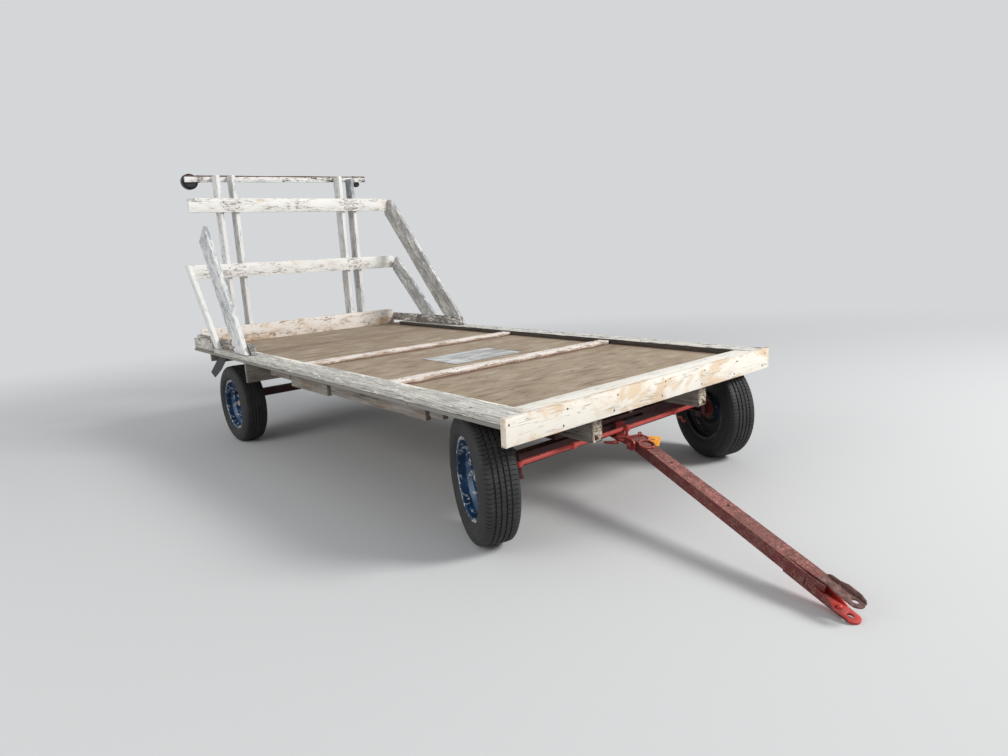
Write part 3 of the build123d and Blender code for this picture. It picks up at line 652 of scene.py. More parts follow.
# name, fresh paint, faded paint, rust, level of the rust's edge, fineness, roughness, pitted
reds = (
    # the frame's red is made very dark as painted shade from the deck, the tie rod's red bright as
    # painted sunlight
    ("frame_red", (0.055, 0.006, 0.008), (0.105, 0.015, 0.015), (0.050, 0.018, 0.014), 0.555, 1.0, 0.55),
    ("yoke_red", (0.34, 0.030, 0.030), (0.66, 0.140, 0.115), (0.17, 0.062, 0.040), 0.540, 1.4, 0.45),
    ("tongue_red", (0.13, 0.016, 0.016), chalky_pink, (0.150, 0.060, 0.048), 0.515, 1.3, 0.62, True),
    ("rod_red", (0.62, 0.065, 0.058), (0.86, 0.190, 0.150), (0.28, 0.09, 0.06), 0.575, 1.6, 0.45),
    ("jaw_red", (0.50, 0.030, 0.024), (0.60, 0.060, 0.045), (0.20, 0.06, 0.04), 0.57, 1.5, 0.42),
    ("hub_red", (0.16, 0.022, 0.02), (0.26, 0.05, 0.04), (0.12, 0.05, 0.035), 0.53, 2.0, 0.5),
)
for row in reds:
    faded_red(*row)
print(len(reds), "reds ready")

# %% [markdown]
# The upper jaw, the nails, the bolts and the castle nuts have no paint left. Their rust is a
# dark mauve brown with paler grains, rough all over. The wheels' bolts have gone a dull grey, in
# three tones made the same way.

# %% Bare rust
def bare_rust(name, dark, middle, pale):
    """Bare metal, rusted or dulled all over, in three tones."""
    tree, shader, place = start_finish(name)
    grains = noise(tree, place, 240.0, 5.0, 0.7)
    mottle = noise(tree, place, 30.0, 5.0, 0.6)
    tone = weighted(tree, grains, 0.45, mottle, 0.55)
    rust = colours(tree, tone, (0.38, dark), (0.5, middle), (0.62, pale))
    shader.inputs["Metallic"].default_value = 0.1
    lay_on(tree, shader, rust, 0.85, tone, 0.0012, 0.8)


bare_rust("jaw_rust", (0.045, 0.022, 0.020), (0.150, 0.074, 0.064), (0.300, 0.175, 0.150))
bare_rust("bolt_rust", (0.045, 0.024, 0.018), (0.130, 0.066, 0.044), (0.270, 0.150, 0.095))
bare_rust("old_zinc", (0.16, 0.155, 0.15), (0.33, 0.33, 0.32), (0.50, 0.49, 0.47))
print("rust ready")

# %% [markdown]
# The wheels are deep blue, chipped back to a pale undercoat along the rim's flange and its inner
# step, and to rust where the chips are deepest. A wheel's chips belong to its own rim, so their
# mask goes by the distance from the wheel's middle. Each wheel has its own centre and turn.

# %% Chipped blue wheels
def chipped_blue(name, centre, yaw, side):
    """Blue wheel paint, chipped towards the rim's edge and painted near black as shade on its inner
    side.
    """
    tree, shader, place = start_finish(name)
    spot = turned(tree, place, (0.0, 0.0, yaw), centre=centre)
    along_x, across, upward = parts_of(tree, spot)
    square = sums(tree, "MULTIPLY_ADD", along_x, along_x, sums(tree, "MULTIPLY", upward, upward))
    radius = sums(tree, "SQRT", square)
    flakes = noise(tree, spot, 26.0, 8.0, 0.72, 0.4)
    clouds = noise(tree, spot, 6.0, 4.0)
    at_edge = rise_between(tree, radius, 0.200, 0.228, 0.0, 0.10)
    at_step = sums(
        tree,
        "MULTIPLY",
        rise_between(tree, radius, 0.165, 0.186),
        rise_between(tree, radius, 0.190, 0.205, 0.055, 0.0),
    )
    wear = sums(tree, "ADD", flakes, sums(tree, "ADD", at_edge, at_step))
    chipped = rise_between(tree, wear, 0.590, 0.605)
    deep = rise_between(tree, wear, 0.665, 0.68)
    paint = colours(tree, clouds, (0.4, (0.006, 0.028, 0.075)), (0.62, (0.012, 0.075, 0.175)))
    colour = over(tree, chipped, paint, (0.52, 0.53, 0.52))
    colour = over(tree, deep, colour, (0.14, 0.085, 0.06))
    # the wheel's inboard faces and deep inside of the disc are painted near black: painted shade
    outboard = sums(tree, "MULTIPLY", across, side)
    way = turned(tree, tree.nodes.new("ShaderNodeTexCoord").outputs["Normal"], (0.0, 0.0, yaw))
    outward = sums(tree, "MULTIPLY", parts_of(tree, way)[1], side)
    inner_side = rise_between(tree, outward, -0.5, -0.2, 1.0, 0.0)
    deep_inside = rise_between(tree, outboard, -0.042, -0.032, 1.0, 0.0)
    inboard_shade = sums(tree, "MULTIPLY", sums(tree, "MAXIMUM", inner_side, deep_inside), 0.95)
    colour = over(tree, inboard_shade, colour, (0.016, 0.012, 0.010))
    height = weighted(tree, chipped, -0.6, flakes, 0.5)
    rough = rise_between(tree, chipped, 0.0, 1.0, 0.35, 0.7)
    lay_on(tree, shader, colour, rough, height, 0.0012, 0.7)


corners = {
    "front_left": (axle_x, 1.0, wheel_yaw),
    "front_right": (axle_x, -1.0, wheel_yaw),
    "rear_left": (rear_axle_x, 1.0, 0.0),
    "rear_right": (rear_axle_x, -1.0, 0.0),
}
wheel_frames = {}
for corner, (x, side, yaw) in corners.items():
    pin = Matrix.Translation((x, side * kingpin_y, wheel_height)) @ Matrix.Rotation(yaw, 4, "Z")
    wheel_frames[corner] = pin @ Matrix.Translation((0.0, side * (wheel_y - kingpin_y), 0.0))
    chipped_blue("blue_" + corner, tuple(wheel_frames[corner].translation), yaw, side)
    print(corner, "wheel centre", [round(v, 3) for v in wheel_frames[corner].translation])

# %% [markdown]
# Tyre rubber is a very dark grey. The sun has dried it, and the tread and the sidewalls carry a
# film of pale dust in patches. The flap, the lamps and the amber plate are small plain finishes
# made in the same way.

# %% Rubber, black paint and amber
tree, shader, place = start_finish("dusty_rubber")
dust = noise(tree, place, 9.0, 6.0, 0.65)
grit = noise(tree, place, 160.0, 4.0, 0.6)
film = weighted(tree, dust, 0.7, grit, 0.3)
rubber = colours(
    tree,
    film,
    (0.40, (0.010, 0.010, 0.011)),
    (0.52, (0.020, 0.020, 0.021)),
    (0.66, (0.045, 0.043, 0.040)),
)
rough = rise_between(tree, film, 0.4, 0.6, 0.62, 0.85)
lay_on(tree, shader, rubber, rough, grit, 0.0006, 0.6)

tree, shader, place = start_finish("flap_rubber")
clouds = noise(tree, place, 14.0, 5.0, 0.6)
weave = noise(tree, place, 190.0, 3.0)
sheet = colours(tree, clouds, (0.4, (0.014, 0.015, 0.017)), (0.62, (0.048, 0.048, 0.050)))
rough = rise_between(tree, clouds, 0.4, 0.6, 0.55, 0.75)
lay_on(tree, shader, sheet, rough, weave, 0.001, 0.7)

tree, shader, place = start_finish("lamp_black")
speckle = noise(tree, place, 90.0, 5.0, 0.7)
worn = rise_between(tree, speckle, 0.62, 0.66)
soot = noise(tree, place, 20.0)
coat = colours(tree, soot, (0.4, (0.006, 0.006, 0.007)), (0.62, (0.016, 0.016, 0.018)))
coat = over(tree, sums(tree, "MULTIPLY", worn, 0.8), coat, (0.12, 0.065, 0.04))
shader.inputs["Specular IOR Level"].default_value = 0.2
rough = rise_between(tree, worn, 0.0, 1.0, 0.38, 0.8)
lay_on(tree, shader, coat, rough, speckle, 0.0008, 0.5)

tree, shader, place = start_finish("amber_plate_finish")
clouds = noise(tree, place, 40.0, 5.0, 0.6)
scratches = grainy(tree, place, (0.0, 0.0, 0.4), 8.0, 190.0, 3.0)
amber = colours(tree, clouds, (0.35, (0.78, 0.27, 0.012)), (0.6, (0.93, 0.42, 0.03)))
amber = over(tree, rise_between(tree, scratches, 0.62, 0.7, 0.0, 0.6), amber, (0.95, 0.62, 0.25))
rough = rise_between(tree, scratches, 0.4, 0.7, 0.38, 0.6)
lay_on(tree, shader, amber, rough, scratches, 0.0004, 0.4)
print(len(finishes), "finishes in all")

# %% [markdown]
# Each solid of the wagon now gets the finish of its own kind. A board's finish goes by the way its
# grain runs, a wheel's by its corner, and the rest by what they are made of.

# %% Give every solid its finish
node_finish = {
    "front_board": "front_board_paint",
    "front_filler": "filler_paint",
    "battens": "batten_paint",
    "side_board_right": "right_side_paint",
    "side_board_left": "left_side_paint",
    "rear_kick_board": "rear_kick_paint",
    "side_kick_boards": "side_kick_paint",
    "corner_board": "right_side_paint",
    "upper_rack_board": "rack_board_paint",
    "middle_rack_board": "rack_board_paint",
    "rack_uprights": "upright_paint",
    "light_bar": "bar_paint",
    "long_brace_left": "long_left_paint",
    "long_brace_right": "long_right_paint",
    "short_brace_left": "short_left_paint",
    "short_brace_right": "short_right_paint",
    "deck_sheets": "plywood_deck",
    "sills": "sill_timber",
    "edge_timbers_left": "edge_timber",
    "edge_timbers_right": "edge_timber",
    "cross_joists": "joist_timber",
    "repair_plate": "worn_metal_plate",
    "rubber_flap": "flap_rubber",
    "flood_lamp": "lamp_black",
    "small_lamp": "lamp_black",
    "amber_plate": "amber_plate_finish",
    "tongue_tube": "tongue_red",
    "tongue_upper_jaw": "jaw_rust",
    "tongue_lower_jaw": "jaw_red",
    "tie_rod": "rod_red",
    "yoke": "yoke_red",
}
for corner in corners:
    node_finish["tyre_" + corner] = "dusty_rubber"
    node_finish["wheel_" + corner] = "blue_" + corner
    node_finish["hub_" + corner] = "hub_red"
for name, solid in nodes.items():
    solid.data.materials.clear()
    solid.data.materials.append(finishes[node_finish.get(name, "frame_red")])
print(len(nodes), "solids have their finish")

# %% [markdown]
# From here on new pieces are modelled. Blender's operators act on whatever is selected, so a
# small helper first deselects everything and picks one piece. Another closes a piece: it bakes
# the place into the mesh, gives the finish, and says which body carries it.

# %% Helpers for modelling
def only(piece):
    """Select one piece alone and make it the active one."""
    bpy.ops.object.select_all(action="DESELECT")
    piece.select_set(True)
    bpy.context.view_layer.objects.active = piece


def edit(piece):
    """Go into edit mode on one piece with nothing selected."""
    only(piece)
    bpy.ops.object.mode_set(mode="EDIT")
    bpy.ops.mesh.select_all(action="DESELECT")


def leave():
    """Go back to object mode."""
    bpy.ops.object.mode_set(mode="OBJECT")


def pick(piece, kind, test):
    """In edit mode, select the vertices, edges or faces that pass a test."""
    mesh = bmesh.from_edit_mesh(piece.data)
    bpy.context.tool_settings.mesh_select_mode = (kind == "verts", kind == "edges", kind == "faces")
    for part in (mesh.verts, mesh.edges, mesh.faces):
        for element in part:
            element.select = False
    chosen = [element for element in getattr(mesh, kind) if test(element)]
    for element in chosen:
        element.select_set(True)
    bmesh.update_edit_mesh(piece.data)
    return len(chosen)


def face_outward():
    """In edit mode, select all and turn every face outward."""
    bpy.ops.mesh.select_all(action="SELECT")
    bpy.ops.mesh.normals_make_consistent(inside=False)


def move_to(piece, matrix):
    """Bake a place into a piece's mesh and put its object at the origin."""
    piece.data.transform(matrix)
    piece.matrix_world = Matrix.Identity(4)
    piece.data.update()


def settle(piece, body, finish, replaced=(), smooth=35.0):
    """Close a piece: finish, smooth shading, body and the solids it stands for."""
    only(piece)
    bpy.ops.object.transform_apply(location=True, rotation=True, scale=True)
    piece.data.materials.clear()
    piece.data.materials.append(finishes[finish])
    bpy.ops.object.shade_smooth_by_angle(angle=math.radians(smooth))
    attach(piece, body)
    if replaced:
        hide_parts(*replaced)
    return piece


def copy_of(piece, name):
    """A copy with its own mesh."""
    twin = bpy.data.objects.new(name, piece.data.copy())
    scene.collection.objects.link(twin)
    return twin


def joined(pieces, name):
    """Join pieces into one mesh under a new name."""
    only(pieces[0])
    for piece in pieces[1:]:
        piece.select_set(True)
    bpy.ops.object.join()
    whole = bpy.context.object
    whole.name = name
    whole.data.name = name
    return whole


noise_at = cloud_noise.noise
print("modelling helpers ready")

# %% [markdown]
# Three shapes come back often: a flat plate cut to an outline with holes, a bent rod, and a short
# turned stub such as a bolt. A plate is drawn edge by edge, filled and extruded. A rod is a line
# of edges given thickness by the Skin modifier. A stub grows out of a cylinder's top by insets.

# %% Shapes that come back
SKIN_SHARE = 1.18


def drawn(name, points, closed=False):
    """A line of edges, extruded from point to point."""
    bpy.ops.mesh.primitive_plane_add(size=0.01)
    piece = bpy.context.object
    piece.name = name
    edit(piece)
    pick(piece, "verts", lambda vertex: True)
    bpy.ops.mesh.merge(type="CENTER")
    bpy.ops.transform.translate(value=points[0])
    for here, after in zip(points, points[1:]):
        step = [after[axis] - here[axis] for axis in range(3)]
        bpy.ops.mesh.extrude_region_move(TRANSFORM_OT_translate={"value": step})
    bpy.ops.mesh.select_all(action="SELECT")
    if closed:
        bpy.ops.mesh.edge_face_add()
        bpy.ops.mesh.delete(type="ONLY_FACE")
    return piece


def plate(name, outline, holes, low, high, softness=0.0012):
    """A flat plate in X and Y with round holes, given as x, y, radius."""
    piece = drawn(name, [(x, y, low) for x, y in outline], closed=True)
    for x, y, radius in holes:
        bpy.ops.mesh.primitive_circle_add(vertices=20, radius=radius, location=(x, y, low))
    pick(piece, "edges", lambda edge: True)
    bpy.ops.mesh.fill(use_beauty=True)
    bpy.ops.mesh.extrude_region_move(TRANSFORM_OT_translate={"value": (0.0, 0.0, high - low)})
    face_outward()
    leave()
    if softness:
        rounding = piece.modifiers.new("soft_edges", "BEVEL")
        rounding.width = softness
        rounding.segments = 2
        rounding.limit_method = "ANGLE"
        bpy.ops.object.modifier_apply(modifier="soft_edges")
    return piece


def bent_rod(name, points, radius):
    """A round rod along a line of points."""
    piece = drawn(name, points)
    leave()
    only(piece)
    bpy.ops.object.modifier_add(type="SKIN")
    for part in piece.data.skin_vertices[0].data:
        part.radius = (radius * SKIN_SHARE, radius * SKIN_SHARE)
    bpy.ops.object.modifier_apply(modifier="Skin")
    rounding = piece.modifiers.new("round", "SUBSURF")
    rounding.levels = 2
    bpy.ops.object.modifier_apply(modifier="round")
    return piece


def turned_stub(name, sides, radius, length, steps):
    """A short turned piece standing on the origin: insets and rises over a cylinder."""
    bpy.ops.mesh.primitive_cylinder_add(vertices=sides, radius=radius, depth=length)
    piece = bpy.context.object
    piece.name = name
    edit(piece)
    pick(piece, "faces", lambda face: face.normal.z > 0.9)
    for inset, rise in steps:
        bpy.ops.mesh.inset(thickness=inset)
        bpy.ops.transform.translate(value=(0.0, 0.0, rise))
    leave()
    move_to(piece, Matrix.Translation((0.0, 0.0, length / 2)))
    return piece


print("plate, rod and stub helpers ready")

# %% [markdown]
# Old boards have no sharp edges. Feet, bales and weather round them off unevenly and break small
# pieces out along the grain. Each board could be modelled again from a cube, but the solids are
# already right in size, so a copy of each is merged, its edges are bevelled, and it is cut
# across the grain every few centimetres. Then every new corner is pushed in by a noise of its
# own, which only ever takes wood away, as wear does.

# %% Wear the boards
grain_heading = {}
for name, (_, tilt, heading) in grain.items():
    turn = bed_turn @ Matrix.Rotation(heading, 4, "Z") @ Matrix.Rotation(tilt, 4, "Y")
    grain_heading[name] = turn.to_3x3() @ Vector((1, 0, 0))


def worn_timber(node, direction, spacing, rounding, chip, finish, slot="white_paint"):
    """Replace a sawn solid by a copy with worn edges."""
    piece = copy_of(nodes[node], node + "_worn")
    edit(piece)
    bpy.ops.mesh.customdata_custom_splitnormals_clear()
    bpy.ops.mesh.select_all(action="SELECT")
    bpy.ops.mesh.remove_doubles(threshold=0.0002)
    bpy.ops.mesh.dissolve_limited(angle_limit=math.radians(2.0))
    bpy.ops.mesh.select_all(action="DESELECT")
    bpy.ops.mesh.edges_select_sharp(sharpness=math.radians(30.0))
    bpy.ops.mesh.bevel(offset=rounding, segments=2, affect="EDGES")
    heading = grain_heading[direction]
    reach = [heading.dot(vertex.co) for vertex in bmesh.from_edit_mesh(piece.data).verts]
    first, last = min(reach), max(reach)
    cuts = int((last - first) / spacing)
    for step in range(1, cuts):
        at = first + (last - first) * (step + random.uniform(-0.3, 0.3)) / cuts
        bpy.ops.mesh.select_all(action="SELECT")
        bpy.ops.mesh.bisect(plane_co=heading * at, plane_no=heading)
    leave()
    shifts = []
    for vertex in piece.data.vertices:
        coarse = noise_at(vertex.co * 9.0)
        fine = noise_at(vertex.co * 55.0)
        depth = 0.25 + max(0.0, coarse) * 1.1 + max(0.0, fine) * 0.9
        shifts.append(vertex.co - vertex.normal * chip * min(depth, 1.7))
    for vertex, place in zip(piece.data.vertices, shifts):
        vertex.co = place
    return settle(piece, "wagon_frame", finish, (node,), 40.0)


random.seed(7)
# solid, grain, spacing of the cuts, rounding, depth of wear, finish
worn_boards = (
    ("front_board", "across", 0.040, 0.004, 0.0022, "front_board_paint"),
    ("front_filler", "across", 0.050, 0.003, 0.0016, "filler_paint"),
    ("battens", "across", 0.035, 0.005, 0.0024, "batten_paint"),
    ("side_board_right", "along", 0.040, 0.004, 0.0036, "right_side_paint"),
    ("side_board_left", "along", 0.045, 0.004, 0.0028, "left_side_paint"),
    ("rear_kick_board", "across", 0.040, 0.003, 0.0026, "rear_kick_paint"),
    ("side_kick_boards", "along", 0.045, 0.003, 0.0026, "side_kick_paint"),
    ("corner_board", "along", 0.040, 0.003, 0.0030, "right_side_paint"),
    ("upper_rack_board", "across", 0.045, 0.003, 0.0022, "rack_board_paint"),
    ("middle_rack_board", "across", 0.045, 0.003, 0.0022, "rack_board_paint"),
    ("rack_uprights", "upright", 0.050, 0.003, 0.0020, "upright_paint"),
    ("light_bar", "across", 0.050, 0.003, 0.0024, "bar_paint"),
    ("long_brace_left", "long_left", 0.050, 0.003, 0.0014, "long_left_paint"),
    ("long_brace_right", "long_right", 0.045, 0.003, 0.0020, "long_right_paint"),
    ("short_brace_left", "short_left", 0.050, 0.003, 0.0014, "short_left_paint"),
    ("short_brace_right", "short_right", 0.050, 0.003, 0.0022, "short_right_paint"),
)
for row in worn_boards:
    worn_timber(*row)
print(len(worn_boards), "kinds of board worn")

# %% [markdown]
# The unpainted timber under the deck is worn the same way, and the sills' front ends have rotted.
# There the end face is divided finely and eaten back by up to a centimetre, so the open grain
# crumbles in the outline too, and not only in the colour.

# %% Wear the timber under the deck
for node, direction, finish in (
    ("sills", "along", "sill_timber"),
    ("edge_timbers_left", "along", "edge_timber"),
    ("edge_timbers_right", "along", "edge_timber"),
    ("cross_joists", "across", "joist_timber"),
):
    piece = worn_timber(node, direction, 0.085, 0.003, 0.0022, finish, "grey_timber")
    if node == "sills":
        sills_worn = piece

ROT_DEPTH = 0.012
end_from = on_bed(0.070, 0.0, -0.1).x - 0.06


def at_front_end(face):
    """Whether a face is one of the sills' front ends."""
    return face.normal.x > 0.9 and face.calc_center_median().x > end_from


edit(sills_worn)
pick(sills_worn, "faces", at_front_end)
bpy.ops.mesh.subdivide(number_cuts=9, quadcorner="INNERVERT")
leave()
for vertex in sills_worn.data.vertices:
    if vertex.normal.x > 0.4 and vertex.co.x > end_from:
        rot = max(0.0, noise_at(vertex.co * 60.0) + 0.15) + max(0.0, noise_at(vertex.co * 23.0))
        vertex.co.x -= ROT_DEPTH * min(rot, 0.9)
print("sills, joists and edge timbers worn")

# %% [markdown]
# The tyres are car tyres with four grooves round the tread and fine cuts across its ribs. A whole
# tyre could be cut from a turned ring, but its tread repeats every few centimetres, so only one
# pitch is modelled: an outline of ribs and grooves is drawn point by point, spun a little way
# for a narrow cut and further for the block after it, and the cut's floor is sunk. Spinning
# copies of that pitch then close the ring, and the sidewalls come out of the same spin.

# %% Draw the tyre's outline
# across and up from the wheel's middle, in millimetres, from the tread's middle to the bead
tread_half = (
    (0.0, 360.0), (10.0, 360.0), (12.0, 352.5), (17.0, 352.5), (19.0, 359.8), (29.0, 359.6),
    (38.0, 359.3), (40.0, 352.0), (45.5, 352.0), (47.5, 358.6), (62.0, 357.6), (76.0, 355.8),
    (83.0, 352.5), (89.0, 347.0),
)
side_half = (
    (95.0, 335.0), (98.5, 331.0), (98.0, 326.0), (104.0, 310.0), (107.5, 293.0), (107.0, 275.0),
    (104.0, 264.0), (106.0, 259.0), (104.0, 253.0), (95.0, 244.0), (88.0, 236.0), (84.5, 231.5),
    (78.0, 231.0), (77.0, 216.0), (57.0, 216.0), (64.0, 239.0), (81.0, 275.0), (82.0, 310.0),
    (70.0, 333.0),
)
half_outline = [(across / 1000.0, up / 1000.0) for across, up in tread_half + side_half]
mirrored = [(-across, up) for across, up in reversed(half_outline)]
tyre_outline = half_outline + mirrored[:-1] + [half_outline[0]]
tyre = drawn("tyre", [(0.0, across, up) for across, up in tyre_outline])
bpy.ops.mesh.remove_doubles(threshold=0.00005)
print(len(tyre_outline), "points round the tyre's section")

# %% Spin one pitch and cut its tread
PITCHES = 92
pitch = 2.0 * math.pi / PITCHES
pitch_cuts = (0.0, 0.02, 0.135, 0.155, 0.57, 1.0)
for start, end in zip(pitch_cuts, pitch_cuts[1:]):
    bpy.ops.mesh.spin(steps=1, angle=(end - start) * pitch, center=(0, 0, 0), axis=(0, 1, 0))
leave()
CUT_DEPTH = 0.0060
SHOULDER_SLANT = 0.004
SIDE_WANDER = 0.0016
for vertex in tyre.data.vertices:
    across, radius = vertex.co.y, math.hypot(vertex.co.x, vertex.co.z)
    share = abs(math.atan2(vertex.co.x, vertex.co.z)) / pitch
    on_rib = radius > 0.3550 and abs(across) < 0.0765
    in_cut = 0.01 < share < 0.145
    mid_block = 0.3 < share < 0.9
    depth = CUT_DEPTH if on_rib and in_cut and abs(across) > 0.0005 else 0.0
    if in_cut and 0.080 < abs(across) < 0.090 and radius > 0.340:
        depth = CUT_DEPTH * 0.6
    slant = math.sin(across * 160.0) * SHOULDER_SLANT if radius > 0.340 else 0.0
    angle = math.atan2(vertex.co.x, vertex.co.z) + slant / radius
    wander = SIDE_WANDER if mid_block else -SIDE_WANDER
    sideways = wander if radius > 0.350 and 0.009 < abs(across) < 0.048 else 0.0
    inner = radius - depth
    vertex.co = (inner * math.sin(angle), across + sideways, inner * math.cos(angle))
print("one pitch has", len(tyre.data.polygons), "faces")

# %% Copy the pitch round the wheel
edit(tyre)
bpy.ops.mesh.select_all(action="SELECT")
bpy.ops.mesh.spin(steps=PITCHES, dupli=True, angle=2.0 * math.pi, center=(0, 0, 0), axis=(0, 1, 0))
bpy.ops.mesh.select_all(action="SELECT")
bpy.ops.mesh.remove_doubles(threshold=0.00015)
bpy.ops.mesh.normals_make_consistent(inside=False)
leave()
for corner, frame_matrix in wheel_frames.items():
    twin = copy_of(tyre, "treaded_tyre_" + corner)
    move_to(twin, frame_matrix)
    settle(twin, "wheel_" + corner, "dusty_rubber", ("tyre_" + corner,), 32.0)
bpy.data.objects.remove(tyre)
print("tyres have", len(twin.data.polygons), "faces each")

# %% [markdown]
# Each wheel is held by six bolts on the hub's flange, and a valve stands near the rim. A bolt is
# a hexagon with a bevelled top and a stub of thread. It is modelled once, standing, and its
# copies are turned to lie along the wheel's axle, round the hub.

# %% Wheel bolts, hub nut and valve
bolt_steps = ((0.0015, 0.0018), (0.0045, 0.0), (0.0004, 0.009), (0.0015, 0.0012))
wheel_bolt = turned_stub("wheel_bolt", 6, 0.0125, 0.011, bolt_steps)
nut_steps = ((0.002, 0.001), (0.004, 0.0), (0.001, 0.004), (0.005, 0.003))
hub_nut = turned_stub("hub_nut", 12, 0.026, 0.004, nut_steps)
valve_steps = ((0.0012, 0.001), (0.0002, 0.012), (0.001, 0.001))
valve = turned_stub("valve", 10, 0.0055, 0.030, valve_steps)
BOLTS = 6
BOLT_RING = 0.060
BOLT_SEAT = -0.028
VALVE_FOOT = 0.206
HUB_NUT_OUT = 0.036
for corner, (x, side, yaw) in corners.items():
    outward = Matrix.Rotation(math.radians(-90.0 * side), 4, "X")
    small = []
    for number in range(BOLTS):
        spin = Matrix.Rotation(2.0 * math.pi * (number + 0.3) / BOLTS, 4, "Y")
        seat = Matrix.Translation((BOLT_RING, side * BOLT_SEAT, 0.0))
        twin = copy_of(wheel_bolt, "one_bolt")
        twin.data.transform(wheel_frames[corner] @ spin @ seat @ outward)
        small.append(twin)
    nut = copy_of(hub_nut, "one_nut")
    nut_seat = Matrix.Translation((0.0, side * HUB_NUT_OUT, 0.0))
    nut.data.transform(wheel_frames[corner] @ nut_seat @ outward)
    stem = copy_of(valve, "one_stem")
    lean = Matrix.Rotation(math.radians(-62.0 * side), 4, "X")
    around = Matrix.Rotation(2.4 + x, 4, "Y")
    foot = Matrix.Translation((0.0, side * 0.046, VALVE_FOOT))
    stem.data.transform(wheel_frames[corner] @ around @ foot @ lean)
    whole = joined(small + [nut, stem], "wheel_bolts_" + corner)
    settle(whole, "wheel_" + corner, "old_zinc", smooth=30.0)
for model in (wheel_bolt, hub_nut, valve):
    bpy.data.objects.remove(model)
print("four sets of wheel bolts")

# %% [markdown]
# Nails and bolts hold the bed together, and each is small, rusty and easy to forget. Three heads
# are modelled once: a nail, a carriage bolt's dome and a hexagon bolt on its washer. Each copy
# is seated by a ray cast at the boards from outside, so it sits on whatever surface is there.

# %% Seat nails and bolts
nail_head = turned_stub("nail_head", 10, 0.0060, 0.0014, ((0.0012, 0.0006),))
dome_steps = ((0.0015, 0.0022), (0.0025, 0.0017), (0.0030, 0.0008))
dome_head = turned_stub("dome_head", 16, 0.0115, 0.0014, dome_steps)
hex_washer = turned_stub("hex_washer", 18, 0.0160, 0.0022, ((0.0005, 0.0003), (0.0002, 0.0)))
hex_steps = ((0.0012, 0.0012), (0.0030, 0.0), (0.0003, 0.0060), (0.0010, 0.0008))
hex_top = turned_stub("hex_top", 6, 0.0105, 0.0075, hex_steps)
hex_top.data.transform(Matrix.Translation((0.0, 0.0, 0.002)))
hex_head = joined([hex_washer, hex_top], "hex_head")
bpy.context.view_layer.update()
graph = bpy.context.evaluated_depsgraph_get()


def seated(model, start, heading, sink=0.0):
    """A copy of a head where a ray from start first meets the wagon."""
    heading = Vector(heading).normalized()
    struck, spot, _, _, _, _ = scene.ray_cast(graph, Vector(start), heading)
    if not struck:
        return None
    twin = copy_of(model, "one_head")
    facing = (-heading).to_track_quat("Z", "Y").to_matrix().to_4x4()
    twist = Matrix.Rotation(spot.x * 40.0 + spot.y * 17.0, 4, "Z")
    twin.data.transform(Matrix.Translation(spot + heading * sink) @ facing @ twist)
    return twin


down = bed_turn.to_3x3() @ Vector((0.0, 0.0, -1.0))
backward = bed_turn.to_3x3() @ Vector((-1.0, 0.0, 0.0))
nail_rays = []
for across in (-1.19, -0.80, -0.41, 0.02, 0.43, 0.81, 1.18):
    for rise in (-0.032, -0.112):
        nail_rays.append((on_bed(-0.3, across + 0.01 * rise * 40, rise), backward))
for back in (0.35, 0.95, 1.55, 2.15, 2.75, 3.35, 3.85):
    for across in (-1.175, -1.075, 1.075, 1.175):
        nail_rays.append((on_bed(back + across * 0.03, across, 0.35), down))
for across in (-0.93, -0.52, -0.10, 0.33, 0.71, 0.95):
    for back in (1.29, 1.33, 2.54, 2.58):
        nail_rays.append((on_bed(back, across, 0.3), down))
    for rise in (0.03, 0.10):
        nail_rays.append((on_bed(4.2, across, rise), backward))
bolt_rays = []
rack_rays = []
for across in (-0.755, -0.601, 0.591, 0.740):
    for height in (1.640, 1.590, 2.295, 2.245):
        rack_rays.append(((-2.5, across + (height - 2.0) * 0.03, height), (-1.0, 0.0, 0.0)))
    bolt_rays.append(((-3.4, across, 2.535), (1.0, 0.0, 0.0)))
dome_rays = []
for back in (3.55, 4.20, 4.55):
    for side in (-1.0, 1.0):
        dome_rays.append((on_bed(back, side * 0.8, 0.075), (0.0, side, 0.0)))
        dome_rays.append((on_bed(back + 0.03, side * 1.6, 0.055), (0.0, -side, 0.0)))
        dome_rays.append((on_bed(back + 0.09, side * 1.6, 0.110), (0.0, -side, 0.0)))
hex_rays = []
for side in (-1.0, 1.0):
    for across in (0.30, 0.52):
        hex_rays.append(((axle_x + 0.6, side * across, 0.520), (-1.0, 0.0, 0.0)))
        hex_rays.append(((rear_axle_x - 0.6, side * across, 0.640), (1.0, 0.0, 0.0)))
fasteners = (
    (nail_head, nail_rays + rack_rays, "bolt_rust", 0.0005, "nails"),
    (dome_head, bolt_rays + dome_rays, "bolt_rust", 0.0005, "carriage_bolts"),
    (hex_head, hex_rays, "bolt_rust", 0.0, "frame_bolts"),
)
for model, rays, finish, sink, name in fasteners:
    heads = [seated(model, start, heading, sink) for start, heading in rays]
    heads = [head for head in heads if head is not None]
    whole = joined(heads, name)
    settle(whole, "wagon_frame", finish, smooth=30.0)
    print(len(heads), "of", len(rays), name)
    bpy.data.objects.remove(model)

# %% [markdown]
# A thin iron rod lies along the top of the light bar, held by small saddles and bound with wire.
# The flood lamp hangs under the bar's right end and the small lamp near its left end, both facing
# the rear. Their shells are the solids. The bezel, lens, fins and hanger are what such lamps have.

# %% Rod and saddles of the light bar
def bar_spot(across, lift=0.0, back=0.0):
    """A place over the light bar's top edge."""
    share = (across + 1.030) / 2.020
    return Vector((-3.042 - back, across, 2.5565 + 0.0585 * share + lift))


